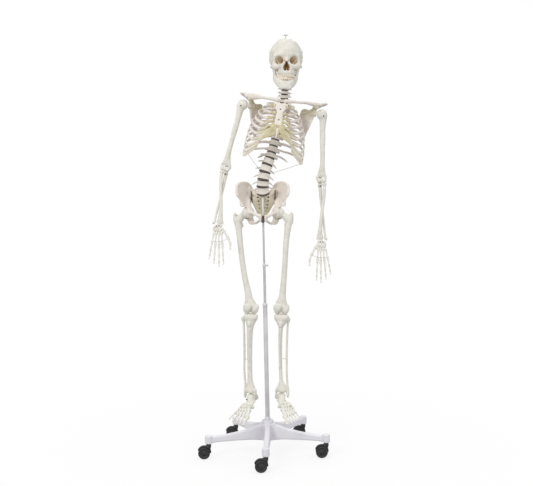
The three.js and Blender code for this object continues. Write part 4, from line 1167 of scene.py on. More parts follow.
# ---- chest
RIB_HALF_WIDTHS = [57, 73, 87, 98, 107, 114, 119, 123, 125, 125]
RIB_DROPS = [22, 35, 46, 56, 64, 71, 81, 93, 102, 104]
RIB_ENDS = [128, 150, 147, 143, 138, 133, 128, 120, 112, 103]
LAST_TRUE_RIB = 7
STERNUM_HEIGHTS = [212, 184, 169, 155, 143, 134, 128]


class RibLine:
    """The course of rib n, counted from the top, in the thorax frame."""

    def __init__(self, n):
        top = THORACIC_COUNT + 1 - n
        root = THORACIC[top] + 0.35 * (THORACIC[top - 1] - THORACIC[top])
        self.n = n
        self.root = THORAX.into(root)
        self.half_width = RIB_HALF_WIDTHS[n - 1]
        self.drop = RIB_DROPS[n - 1]
        self.back = self.root[1] + 24
        self.front = -70 - 9 * (n - 1) if n < 6 else -107
        self.end = math.radians(RIB_ENDS[n - 1])

    def point(self, angle, side):
        middle, depth = (self.back + self.front) / 2, (self.back - self.front) / 2
        blend = math.sin(min(angle, math.pi / 2))
        x = side * self.half_width * math.sin(angle) + self.root[0] * (1 - blend)
        fall = self.drop * (1 - math.cos(angle)) / 1.7
        return np.array([x, middle + depth * math.cos(angle), self.root[2] - fall])


def sternum_spot(n):
    """Where rib n meets the breastbone, in the thorax frame."""
    notch = min(n, LAST_TRUE_RIB)
    return np.array([0, -72 - 5 * notch, STERNUM_HEIGHTS[notch - 1]], float)


def cartilage_bend(n, side):
    line = RibLine(n)
    start = line.point(line.end, side)
    goal = sternum_spot(n)
    bend = start + (goal - start) * (0.5 if n < 5 else 0.42)
    bend[1] = min(bend[1], start[1] - 6) - 6
    bend[0] = start[0] * 0.62
    bend[2] -= 8 if n >= 5 else 0
    return bend


def rib_skin(n, side):
    """A flat curved rib: head and tubercle by the spine, a sharper lower edge, a flared front end."""
    line = RibLine(n)
    level = THORACIC_COUNT - n
    head = line.root + (side * (thoracic_half_width(level) + 0.5), 8, 0)
    tall = 5.7 if n > 1 else 4.6
    rows = [(*head, 4.6, 4.2), (*(head + (line.point(0.22, side) - head) * 0.5), 3.6, 3.2)]
    for share in (0, 0.06, 0.16, 0.30, 0.46, 0.62, 0.78, 0.92, 1.0):
        angle = 0.24 + (line.end - 0.24) * share
        high = tall * (0.92 + 0.20 * share)
        deep = 3.9 - 0.9 * min(share * 3, 1) + (0.9 if share == 1.0 else 0)
        if share == 0.06:
            high, deep = tall * 1.02, 4.6
        rows.append((*line.point(angle, side), high, deep))
    lie = {1: 0.75, 2: 0.45, 3: 0.2}.get(n, 0.05)

    def twist(share):
        outward = np.array([side, 0.0, 0.0]) if share < 0.7 else np.array([side * 0.5, -0.9, 0])
        return Z + lie * outward

    return sweep(rows, Z, 4, 12, 0.86, twist)


def cartilage_skin(n, side):
    """The cartilage from the end of rib n to the breastbone, or to the cartilage above."""
    line = RibLine(n)
    start = line.point(line.end, side)
    before = line.point(line.end - 0.05, side)
    ahead = unit(start - before)
    tall = {1: 8.5, 2: 6.6, 9: 7.4, 10: 9.0}.get(n, 6.0)
    end = 8.5 if n > 8 else 6.2
    rows = [(*(start + ahead * 0.5), end, 3.7)]
    bend = cartilage_bend(n, side)
    rows.append((*(start + (bend - start) * 0.5 + ahead * 3), tall, 3.5))
    rows.append((*bend, tall, 3.5))
    inner = 21 if n == 1 else 12
    goal = sternum_spot(n) + (side * inner, 0, 0) if n <= LAST_TRUE_RIB else cartilage_bend(n - 1, side)
    middle = bend + (goal - bend) * 0.5
    rows.append((*middle, tall - 0.8, 3.3))
    rows.append((*goal, tall - 1.2, 3.2))
    return sweep(rows, Z, 5, 12, 0.9)


def cartilage_tint(points):
    """Paler away from the breastbone and towards the lower ends of the rib margin."""
    return np.clip((np.abs(points[:, 0]) - 34) / 60, 0, 0.6) + np.clip((70 - points[:, 2]) / 110, 0, 0.5)


def cartilage_plate_skin():
    """The sheet of cartilage under the breastbone, where the arms of the rib margin meet."""
    clay = Clay((-92, -124, 20), (92, -78, 142), 1.6)
    clay.add(limb([(0, -106, 132, 18, 3.6), (0, -108, 112, 20, 3.6), (0, -108, 98, 14, 3.2)]), 0)
    clay.add(limb([(8, -108, 110, 19, 3.6), (30, -111, 99, 18, 3.6), (51, -108, 83, 13, 3.4),
        (68, -103, 65, 7, 3)], Z, mirror=True), 5)
    clay.add(limb([(18, -106, 130, 8, 3), (46, -104, 118, 6, 3)], Z, mirror=True), 4)
    clay.cut(limb([(33, -104, 121, 7, 2.2), (62, -104, 102, 7, 2.2)], FRONT, mirror=True), 2)
    return clay.skin()


def floating_rib_skin(k, side):
    """One of the two lowest ribs, counted up from the bottom, which end free."""
    points = [THORAX.into(point) for point in THORACIC]
    head = points[k] + (points[k + 1] - points[k]) * 0.6
    reach = 62 if k == 0 else 98
    rows = [
        (head[0] + side * 21, head[1] + 8, head[2], 4.2, 4),
            (head[0] + side * 30, head[1] + 18, head[2] - 1, 4.0, 3.2),
        (head[0] + side * 42, head[1] + 27, head[2] - 3, 4.4, 3.0),
        (side * reach * 0.74, head[1] + 28, head[2] - 8, 4.6, 2.8),
            (side * reach * 0.9, head[1] + 16, head[2] - 14, 4.2, 2.6),
        (side * reach, head[1], head[2] - 20, 2.8, 2.2),
    ]
    return sweep(rows, Z, 4, 12, 0.86)


def sternum_skin():
    """Handle with its neck notch and shoulder-bone seats, a jointed body with rib notches, a pointed tip."""
    clay = Clay((-36, -120, 76), (36, -56, 238), 1.2)
    # handle, body, tip and the ridge between handle and body
    clay.add(limb([(0, -70, 224, 28, 6), (0, -74, 212, 29, 6), (0, -79, 198, 18, 5.5),
        (0, -82, 189, 12, 5)]), 1)
    clay.add(limb([(0, -82, 186, 12.5, 5), (0, -87, 172, 14.5, 4.8), (0, -93, 157, 16, 5),
        (0, -98, 144, 17.5, 5), (0, -103, 133, 14, 4.6), (0, -105, 129, 9, 4.2)]), 1)
    clay.add(limb([(0, -108, 120, 7, 3.4), (0, -110, 106, 6, 3), (0, -109, 93, 4, 2.6),
        (0, -107, 84, 2.4, 2.2)]), 2)
    clay.add(limb([(-11, -84, 187.6, 2), (11, -84, 187.6, 2)], Z), 2)
    # notches for the neck, the collar bones and the ribs
    clay.cut(ball((0, -70, 235), (11, 14, 9)), 2)
    clay.cut(ball((27, -66, 236), (8, 12, 9), mirror=True), 2)
    for n in range(2, LAST_TRUE_RIB + 1):
        spot = sternum_spot(n)
        clay.cut(ball((19.5 - 0.4 * n, spot[1], spot[2]), (4, 9, 4.6), mirror=True), 1.5)
    return clay.skin()


def scapula_skin():
    """The left shoulder blade about the centre of the shoulder joint, in the thorax frame's directions."""
    clay = Clay((-104, -38, -136), (26, 78, 58), 1.6)
    inward = unit((-0.69, 0.72, 0))
    blade = Place((-36, 8, 0), [inward, Z, np.cross(inward, Z)])
    outline = [(-2, 10), (14, 16), (26, 10), (48, 13), (66, 10), (74, -2), (75, -30), (66, -76), (54, -118),
        (46, -124), (36, -108), (16, -62), (2, -26), (-4, -12)]
    clay.add(sheet(blade, outline, lambda u, v: 3.2 + 5 * np.clip((12 - u) / 16, 0, 1), lambda u,
        v: 5 * np.clip(u / 75, 0, 1) * (1 - np.clip(u / 75, 0, 1)) * 2.4, edge=2), 0)
    # thick outer edge, thin inner edge
    rim = [(-1, -16), (13, -54), (33, -100), (46, -121), (54, -118)]
    clay.add(limb([(*blade.out((u, v, 2)), 4.2) for u, v in rim]), 3)
    inner_rim = [(54, -116), (65, -76), (74, -30), (73, -2), (66, 8), (50, 12)]
    clay.add(limb([(*blade.out((u, v, 1)), 2.3) for u, v in inner_rim]), 2)
    # ridge across the back, its root, and the roof over the shoulder
    spine = [(-84, 62, -6, 3.5, 3), (-68, 58, 0, 3, 7), (-50, 50, 9, 3, 9), (-32, 42, 19, 3.4, 8),
        (-16, 34, 28, 5, 6)]
    clay.add(limb(spine, Z), 3)
    clay.add(limb([(-86, 60, -8, 2), (-60, 42, -2, 3, 8), (-36, 26, 8, 4, 10), (-22, 28, 20, 3, 8)], Z), 3)
    clay.add(limb([(-18, 34, 27, 5, 8), (-4, 24, 36, 5.5, 12), (4, 8, 40, 5.5, 12), (4, -6, 41, 5, 9),
        (12, -10, 42, 2.6, 3), (19, -10, 40, 1.6, 1.8)], Z), 4)
    # neck of the socket, and the hook in front
    clay.add(limb([(-42, 12, -3, 12, 8), (-30, 4, -1, 17, 11)], Z), 4)
    clay.add(limb([(-38, 6, 12, 7, 6), (-35, -10, 22, 5.5, 6), (-22, -25, 17, 5)]), 4)
    # socket
    clay.cut(ball((0, 0, 0), 26.4), 1)
    return clay.skin()


def blade_tint_and_shade(points):
    """Olive round the hook and the socket of the shoulder blade, darkened there as painted shade under the
    collar bone, fading down the blade.
    """
    x, _, z = points.T
    return 0.8 * np.clip((z + 34) / 40, 0, 1) * np.clip((-x - 10) / 12, 0, 1) * np.clip((46 - z) / 16, 0, 1)


def clavicle_skin(inner, outer, swell):
    """A collar bone in a double bend, its outer half deeper by swell."""
    across = outer - inner

    def at(share, forward, rise, wide, deep):
        return (*(inner + across * share + (0, -forward, rise)), wide, deep)

    rows = [at(0, 0, 0, 10, 9), at(0.08, 5, 0, 7.5, 7.5), at(0.28, 13, -1, 5.8, 5.8),
        at(0.48, 9, -1, 5.6, 5.8), at(0.60, 0, 0, 7, 7.5 * swell), at(0.74, -6, -2, 9.5, 10 * swell),
        at(0.88, -5, -3, 10.5, 10 * swell), at(1, -1, -3, 9, 7 * swell)]
    low = np.min([row[:3] for row in rows], 0) - 12
    high = np.max([row[:3] for row in rows], 0) + 12
    return Clay(low, high, 1.5).add(limb(rows, FRONT), 0).skin()


def screw_skin(radius, length, axes, centre):
    """A round-headed screw: a low dome on a short shank."""
    return lathe([(radius * 0.5, -length), (radius * 0.5, 0), (radius, 0), (radius * 0.96, radius * 0.3),
        (radius * 0.7, radius * 0.52), (radius * 0.2, radius * 0.6)], 16, axes, centre)


def cross_pin(radius):
    """A pin along X through the ball of a shoulder or hip."""
    return lathe(rounded([(0.4, -23), (radius, -23), (radius, 11), (0.4, 11)], 0.5), 20, TO_SIDE)


LINE_ENDS = {"right": 3.3, "left": 2.8}
CLAVICLE_SWELL = {"right": 1.25, "left": 0.8}


def build_thorax():
    for side, name in ((-1, "right"), (1, "left")):
        for n in range(1, len(RIB_ENDS) + 1):
            nodes = ["rib_cage"] if n == 1 and side < 0 else []
            piece(f"rib_{n}_{name}", rib_skin(n, side), RIB_BONE, "thorax", nodes, THORAX)
            piece(f"cartilage_{n}_{name}", cartilage_skin(n, side), CARTILAGE, "thorax", (),
                THORAX, tint_and_shade=cartilage_tint)
        for k in range(2):
            piece(f"rib_{THORACIC_COUNT - k}_{name}", floating_rib_skin(k, side), RIB_BONE, "thorax", (),
                THORAX)
    piece("sternum_bone", sternum_skin(), BREAST_BONE, "thorax", (), THORAX)
    piece("cartilage_plate", cartilage_plate_skin(), CARTILAGE, "thorax", (), THORAX,
        tint_and_shade=cartilage_tint)
    spots = ((3.0, (0, -83.5, 201)), (3.0, (0, -98.6, 156)), (2.8, (13, -112.4, 99)))
    screws = [screw_skin(radius, 5, TO_FRONT, spot) for radius, spot in spots]
    piece("sternum_screws", joined(screws), DARK_PIN, "thorax", (), THORAX, cavity=False)
    blade = scapula_skin()
    for name in SIDES:
        side = SIGN[name]
        shoulder = THORAX.into(SHOULDER[name])
        piece(f"scapula_{name}_bone", blade, BLADE_BONE, "thorax", [f"scapula_{name}"],
            THORAX.at(shoulder), side, tint_and_shade=blade_tint_and_shade)
        inner = np.array([side * 17, -66, 238], float)
        outer = shoulder + (-side * 10, -13, 37)
        piece(f"clavicle_{name}_bone", clavicle_skin(inner, outer, CLAVICLE_SWELL[name]), RIB_BONE,
            "thorax", [f"clavicle_{name}"], THORAX)
    for name, n in (("right", 9), ("left", 10)):
        side = SIGN[name]
        line = RibLine(n)
        start = THORAX.out(line.point(line.end - 0.02, side))
        end = spine_point(LINE_ENDS[name]) + (side * 24, -8, 0)
        points = [(*(start + (end - start) * t - (0, 0, 1.5 * math.sin(math.pi * t))),
            0.8) for t in np.linspace(0, 1, 6)]
        piece(f"nylon_line_{name}", sweep(points, Y, 2, 8), NYLON, "thorax", (), cavity=False)


# ---- skull
SKULL_CUT_Z = 92
JAW_HINGE = np.array((0, -14, 26), float)


def cranium_clay():
    """The skull without its lower jaw, symmetrical about x = 0, about the joint with the atlas."""
    clay = Clay((-76, -106, -12), (76, 98, 150), 1.4)
    both = {"mirror": True}
    # brain case with brow, side bulges, back of the head and base
    clay.add(ball((0, 0, 78), (67.5, 91.5, 68.5)), 0)
    clay.add(ball((0, -38, 84), (54, 51, 52)), 18)
    clay.add(ball((32, 22, 66), (37, 50, 42), **both), 16)
    clay.add(ball((0, 48, 52), (47, 43, 34)), 16)
    clay.add(ball((0, 16, 28), (46, 54, 22)), 10)
    # temples, bony knobs behind the ears, joints with the neck
    clay.cut(ball((78, -56, 52), (22, 30, 30), **both), 16)
    clay.add(limb([(48, 20, 36, 9, 13), (49, 18, 18, 8, 11), (48, 14, 6, 5, 6)], **both), 6)
    clay.add(ball((13, 3, 4), (6.5, 12, 6), **both), 3)
    clay.add(ball((0, 88, 50), (7, 5, 6)), 8)
    # upper jaw, cheekbones, cheek arches
    clay.add(brick((0, -58, 16), (33, 26, 26), 16), 6)
    clay.add(limb([(0, -84, -4, 9, 7), (15, -80, -4, 9, 7), (26, -66, -4, 9, 7.5), (31, -50, -3, 8, 7.5),
        (32, -38, 0, 8, 6)], Z, **both), 5)
    clay.add(limb([(10, -84, 34, 8), (24, -82, 27, 11, 8), (38, -76, 23, 12, 9), (49, -67, 24, 12, 8)], Z,
        **both), 8)
    clay.add(limb([(50, -68, 24, 12, 7), (56, -58, 25, 8, 5), (61, -44, 27, 6, 4),
        (63.5, -26, 28, 5.5, 3.2), (62.5, -10, 29, 6, 3.6), (58, 0, 31, 7, 5)], Z, **both), 5)
    clay.add(limb([(50, -67, 28, 7), (50.5, -68, 42, 5.5, 6), (49, -70, 56, 6, 7), (46, -70, 66, 7, 8)],
        **both), 7)
    clay.add(limb([(0, -86, 68, 7), (14, -85, 70, 7), (28, -82, 71, 7), (42, -75, 66, 6, 7)], Z, **both),
        10)
    clay.add(limb([(0, -82, 64, 11, 8), (0, -87, 56, 9, 7), (0, -93, 47, 7.5, 6), (0, -97, 41, 6, 3.4)]), 5)
    clay.add(limb([(10, -82, 58, 5, 7), (13.5, -83, 44, 5.5, 7), (17, -83, 30, 6), (18, -82, 16, 6, 7),
        (15, -81, 4, 6)], **both), 5)
    clay.add(limb([(0, -80, 4, 4, 6), (0, -91, 5, 2, 2.6)]), 3)
    # eye sockets, nose opening, the space behind each cheek
    clay.cut(limb([(31, -108, 45, 17.5, 16.5), (29.5, -86, 45, 17, 16.5), (25.5, -70, 46.5, 14, 13),
        (19, -58, 47, 9, 8), (15, -52, 46, 3)], unit((1, 0, -0.4)), **both), 3)
    clay.cut(limb([(0, -108, 32.5, 5.5, 9), (0, -62, 30, 5, 9)]), 2)
    clay.cut(ball((6, -84, 16), (6.8, 22, 12), **both), 2)
    clay.cut(ball((0, -86, 25), (8.5, 22, 10.5)), 3)
    clay.cut(ball((49, -30, 6), (11, 22, 24), **both), 4)
    clay.cut(ball((54, -38, 34), (6, 18, 16), **both), 3)
    # outer wall of the eye socket, palate, and the partition of the nose
    clay.add(limb([(46.5, -67, 46, 14, 2.2), (41, -54, 46, 13, 2.2), (36, -40, 46, 12, 2.6)], Z, **both), 3)
    clay.cut(brick((0, -46, -8), (20, 26, 7.5), 6), 2)
    clay.add(limb([(18, -36, 16, 8, 10), (22, -34, 0, 8, 9), (24, -32, -10, 5, 6)], **both), 3)
    clay.add(limb([(0, -60, 30, 0.9, 9), (0, -62, 12, 0.9, 9)]), 1)
    clay.add(limb([(9, -62, 14, 3), (8, -72, 14, 2.6, 3)], **both), 1)
    # brain space, the opening below it, and the ear holes
    clay.hollow(ball((0, 2, 80), (65, 87, 63)), 5)
    clay.cut(limb([(0, 14, -14, 14.5, 16.5), (0, 14, 40, 14.5, 16.5)]), 2)
    clay.cut(limb([(74, 3, 28, 3.6), (50, 3, 28, 3.2)], Y, **both), 2)
    return clay


ARCH = spline([(0, -91), (10, -89.5), (19, -84), (26, -75), (30.5, -63), (33, -49), (33, -36)], 12)


def skull_tint(points):
    """Tan inside the eye sockets and brown inside the nose."""
    x, y, z = points.T
    socket = ((np.abs(x) - 28) / 21) ** 2 + ((z - 46) / 18) ** 2
    behind = np.clip((y + 88) / 16, 0, 1) * (y < -40)
    nose = (x / 15) ** 2 + ((z - 25) / 25) ** 2
    inside = np.clip((y + 88) / 9, 0, 1) * (y < -36)
    apex = np.clip(1.2 - ((np.abs(x) - 18) / 7) ** 2 - ((z - 43) / 8) ** 2, 0, 0.45) * (y > -70) * (y < -40)
    return np.maximum(np.clip(1.3 - socket, 0, 0.45) * behind + apex,
        np.clip((1.25 - nose) * 3, 0, 1) * inside)


def jaw_painted_shade(points):
    """Painted shade on the inner faces of the rising branches."""
    x, y, z = points.T
    return 0.5 * np.clip((44.5 - np.abs(x)) / 3, 0, 1) * (y > -32) * (z > -48)


TOOTH_WIDTHS = [8.4, 6.6, 7.6, 6.8, 6.8, 9.6, 9.2, 8.4]
TOOTH_DEPTHS = [6.5, 6.2, 7.6, 8.4, 8.6, 10, 9.8, 9]
TOOTH_SIDES = 12
TOOTH_GAP = 0.25


def tooth_row(base, tip, shrink, forward):
    """Sixteen crowns along the dental arch between two heights; shrink narrows the lower row's arch."""
    lengths = np.append(0, np.cumsum(np.linalg.norm(np.diff(ARCH, axis=0), axis=1)))
    skins = []
    height = tip - base
    c, s = squarish(TOOTH_SIDES, 0.7, 0.5)
    for side in (-1, 1):
        run = 0.0
        for width, depth in zip(TOOTH_WIDTHS, TOOTH_DEPTHS):
            width, depth = width * shrink, depth * shrink
            middle = run + width / 2
            spot = np.array([np.interp(middle, lengths, ARCH[:, i]) for i in range(2)])
            near = np.array([np.interp(middle + 1, lengths, ARCH[:, i]) for i in range(2)])
            run += width + TOOTH_GAP
            along = unit(near - spot)
            centre = np.array([side * spot[0] * shrink, spot[1] * shrink + forward, 0])
            tangent = np.array([side * along[0], along[1], 0])
            inward = np.cross(Z, tangent) * side
            blade = 0.42 if depth < 8 else 0.86
            rings = ((0, 0.70, 0.86), (0.25, 0.92, 1.0), (0.6, 1.0, 0.9), (0.88, 0.96, blade + 0.1),
                (1.0, 0.8, blade * 0.75))
            rings = [(base + height * share, wide * width * 0.49, deep * depth * 0.5) for share, wide,
                deep in rings]
            points = [centre + (0, 0, z) + w * c[:, None] * tangent + d * s[:, None] * inward for z, w,
                d in rings]
            skins.append((np.vstack(points), tube_faces(len(rings), TOOTH_SIDES)))
    return joined(outward(skin) for skin in skins)


def outward(skin):
    """The same skin with its faces looking out."""
    points, faces = skin
    volume = 0.0
    for face in faces:
        for b, c in zip(face[1:], face[2:]):
            volume += np.dot(points[face[0]], np.cross(points[b], points[c]))
    return (points, [tuple(face)[::-1] for face in faces]) if volume < 0 else skin


def mandible_clay():
    """The lower jaw about x = 0, in the skull's frame."""
    clay = Clay((-64, -96, -78), (64, 2, 36), 1.35)
    both = {"mirror": True}
    # body and the ridge that carries the teeth
    clay.add(limb([(46, -17, -14, 14, 5), (45, -28, -20, 15, 6), (41, -44, -29, 15, 6.5),
        (34, -62, -40, 15, 6.5), (24, -76, -48, 17, 6.5), (10, -83, -53, 17, 6), (0, -84, -53, 17, 6)], Z,
        **both), 0)
    clay.add(limb([(32, -44, -32, 7, 6), (28, -62, -37, 7, 6), (16, -75, -40, 7, 5.5), (0, -80, -41, 7, 5)],
        Z, **both), 4)
    # chin
    clay.add(ball((0, -86, -60), (10, 4.5, 8)), 5)
    clay.add(ball((16, -81, -65), (9, 5, 5), **both), 6)
    # rising branches with their joint knobs, front points and corners
    clay.add(limb([(44, -27, -16, 17, 7), (45, -26, -2, 16, 7.5), (48, -25, 8, 14, 5)], Y, **both), 4)
    clay.add(limb([(50, -17, 6, 6, 3.6), (50.5, -14, 18, 4.5)], Y, **both), 3)
    clay.add(ball((49.5, -14, 23.5), (8.5, 4.6, 4.4), **both), 3)
    clay.add(limb([(46, -36, 0, 8, 5), (46, -39, 10, 5, 4), (46, -40, 18, 2.4, 2)], Y, **both), 4)
    clay.add(ball((48, -18, -20), (3, 7, 8), **both), 5)
    # two small holes, and the hollow behind the chin
    clay.cut(ball((25, -82, -50), (1.5, 3, 1.5), **both), 1)
    clay.cut(ball((0, -68, -50), (14, 8, 12)), 6)
    return clay


def build_skull():
    joint = np.array(SPINE[-1], float)
    place = Place(joint + (1.2, 0, 0), turn("y", 1.2))
    base, cap = sawn(cranium_clay().skin(), SKULL_CUT_Z, SAW_GAP)
    piece("cranium_bone", base, SKULL_BONE, "skull", ["cranium"], place=place, tint_and_shade=skull_tint, crease=60)
    piece("skull_cap_bone", cap, SKULL_BONE, "skull_cap", ["skull_cap"], place=place, crease=60)
    piece("teeth_upper", tooth_row(-11, -22.9, 1.0, 4.5), TOOTH, "skull", place=place)
    jaw_place = Place(joint + (0.6, 0, 0) + JAW_HINGE, turn("y", 3.4))
    jaw = mandible_clay().skin()
    # the jaw's second-colour share is painted shade, in the skull paint's tan half tint
    piece("mandible_bone", (jaw[0] - JAW_HINGE, jaw[1]), SKULL_BONE, "mandible", ["mandible"],
        place=jaw_place, tint_and_shade=jaw_painted_shade)
    lower = tooth_row(-34, -23.2, 0.94, -1.5)
    piece("teeth_lower", (lower[0] - JAW_HINGE, lower[1]), TOOTH, "mandible", place=jaw_place)
    crown = joint + (3, 0, 147)
    ring_points = [(8.4 * math.cos(a), 8.4 * math.sin(a), 14.6, 1.2, 1.2) for a in np.linspace(-2.9, 2.9,
        17)]
    eye = [
        sweep(ring_points, Z, 3, 12),
        lathe([(1.4, -10), (1.4, 13)], 16),
        lathe(rounded([(1.5, 0.3), (6.5, 0.3), (6.5, 1.6), (1.5, 1.6)], 0.4), 24),
        lathe(rounded([(1.5, 1.6), (3.4, 1.6), (3.4, 4.6), (1.5, 4.6)], 0.5), 6),
    ]
    piece("hanger_eye_bolt", joined(eye), FITTING_STEEL, "skull_cap", ["hanger_eye"], Place(crown),
        cavity=False)
    hooks = []
    for side in (-1, 1):
        at = np.array((side * 66.5, -8, SKULL_CUT_Z))
        hooks.append(sweep([(*(at + (side * 0.6, 0, 9)), 0.8), (*(at + (side * 1.4, 0, 5)), 0.8),
            (*(at + (side * 2.0, 0, -3)), 0.8), (*(at + (side * 2.0, 2.5, -6)), 0.8),
            (*(at + (side * 1.8, 5, -3)), 0.8)], Y, 4, 8))
    piece("skull_cap_hooks", joined(hooks), FITTING_STEEL, "skull_cap", (), place, cavity=False)


# ---- arms
def humerus_skin(length):
    """Ball head facing the body, two tubercles with a groove, twisted shaft, spool and knob of the elbow."""
    clay = Clay((-36, -28, -length - 16), (38, 28, 30), 1.6)
    # head, two tubercles and the groove between them
    clay.add(ball((-3, 0, -4), (20, 21, 21)), 0)
    clay.add(ball((8, 3, -2), (12, 15, 16)), 7)
    clay.add(ball((4, -15, -8), (8, 6, 12)), 5)
    clay.cut(limb([(11, -19, 12, 2.4, 3), (9, -17, -34, 2.4)]), 4)
    # shaft with its rough ridge
    clay.add(limb([(5, 0, -12, 17, 15), (4, 0, -32, 14.5, 13), (3, 0, -58, 12, 11.5),
        (2.5, 0, -length * 0.42, 10.8, 10.2), (3.5, 0, -length * 0.6, 9.6, 9.4),
        (2.5, 0, -length * 0.8, 11, 8.6), (1, 0, -length + 40, 14.5, 7.5),
        (0, 0, -length + 20, 19.5, 6.5)]), 6)
    clay.add(limb([(10, -3, -length * 0.32, 3, 6), (9, -4, -length * 0.45, 3, 6)]), 8)
    # inner and outer bumps above the elbow
    clay.add(limb([(-17.5, 3, -length + 14, 6), (-20, 4, -length + 7, 4.5, 5)]), 6)
    clay.add(limb([(16, 1, -length + 18, 5), (17.5, 1, -length + 8, 4.5, 5)]), 6)
    # knob for the radius and spool for the ulna
    clay.add(ball((12, 0, -length), (8.5, 10.2, 10.2)), 3)
    clay.add(ball((-13, 0, -length), (6, 10.5, 10.5)), 3)
    clay.add(limb([(-10, 0, -length, 9.5), (8, 0, -length, 8)], Z), 3)
    # hollows behind and in front of the elbow, and the hole for the pin
    clay.cut(ball((-5, 12, -length + 17), (10, 8, 9)), 3)
    clay.cut(ball((-5, -11.5, -length + 16), (10, 8.5, 8.5)), 3)
    clay.cut(ball((12, -11.5, -length + 16), (8, 8.5, 8.5)), 3)
    clay.cut(limb([(-28, 0, 0, 3.1), (-6, 0, 0, 3.1)], Z), 0.5)
    return clay.skin()


def ulna_skin(length):
    """The hook round the elbow, a tapering three-sided shaft and a small head with its point."""
    clay = Clay((-26, -24, -length - 4), (30, 34, 30), 1.4)
    # hook
    clay.add(limb([(-6, 11.5, 18, 7.5, 4), (-6, 16.5, 13, 8.5, 6), (-6, 19.5, 2, 8.5, 6),
        (-6, 17, -12, 8.5, 7), (-6, 8, -22, 8.5, 8), (-6, -5, -20.5, 7.5, 5), (-6, -11, -17.5, 5.5, 3)]), 0)
    # shaft, lower point and edge
    clay.add(limb([(-6.5, 12, -22, 8, 9), (-6, 9, -34, 7, 10), (-3, 7, -length * 0.30, 6.2, 6.6),
        (1, 6, -length * 0.45, 5.6, 6), (8, 4, -length * 0.7, 5), (15, 2, -length + 16, 5),
        (16.5, 2, -length + 9, 7, 6.5)]), 5)
    clay.add(limb([(20, 5, -length + 8, 2.6), (20, 6, -length + 2, 1.8)]), 2)
    clay.add(limb([(-2, 12, -34, 2, 3), (4, 9, -length * 0.45, 2, 3)]), 4)
    # seats for the elbow's spool and the wrist
    clay.cut(limb([(-40, 0, 0, 12), (40, 0, 0, 12)], Z), 1)
    clay.cut(limb([(0, 0, -length, 8.8), (9, 0, -length, 8.8)], Z), 1)
    return clay.skin()


def radius_skin(length):
    """A dished round head on a neck, a bowed shaft and a broad lower end with its point."""
    clay = Clay((-30, -26, -length - 6), (34, 18, -8), 1.4)
    # dished head
    clay.add(puck((12, -0.5), 9, 8.8, -20, -10.5, edge=2.5), 0)
    clay.cut(ball((12, 0, 0), (10.5, 11.6, 11.8)), 1)
    # neck, shaft, knob and lower point
    clay.add(limb([(12, -0.5, -19, 6.8), (12, -3, -32, 6, 6.4), (11, -6, -44, 7, 8),
        (8, -9, -length * 0.32, 6.2, 6.4), (1, -12, -length * 0.5, 6.4, 6),
        (-5, -11, -length * 0.7, 7.4, 6), (-8, -6, -length + 34, 10, 7), (-8, -3, -length + 14, 14.5, 9),
        (-8, -1, -length + 9.5, 14.5, 9)]), 3)
    clay.add(ball((8, -2, -42), (4, 4, 9)), 4)
    clay.add(limb([(-18, -2, -length + 10, 5, 6), (-20, -2, -length + 3, 2.6, 3.4)]), 3)
    # seat for the wrist, and ridges behind it
    clay.cut(limb([(-16, 0, -length, 8.8), (9, 0, -length, 8.8)], Z), 1)
    for x in (-12, -4):
        clay.add(limb([(x, -10, -length + 22, 1.2, 1.4), (x, -10.6, -length + 8, 1.4)]), 2)
    return clay.skin()


def small_bone(start, end, base, shaft, head, flat, arc=0.0):
    """A finger or toe bone: square base, waisted shaft, rounded knuckle; arc bows it along -Y."""
    start, end = np.asarray(start, float), np.asarray(end, float)
    rows = []
    for share, size in ((0.0, base * 0.92), (0.08, base), (0.24, shaft * 1.15), (0.5, shaft),
            (0.74, shaft * 1.1), (0.9, head), (1.0, head * 0.86)):
        point = start + (end - start) * share + (0, -arc * math.sin(math.pi * share), 0)
        rows.append((*point, size, size * flat))
    return sweep(rows, X, 3, 12, 0.9)


FINGERS = [(-15, 0.95, -4), (-5, 1.0, 5), (6, 0.92, 15), (16, 0.80, 24)]
KNUCKLES = (0.50, 0.745, 0.885)


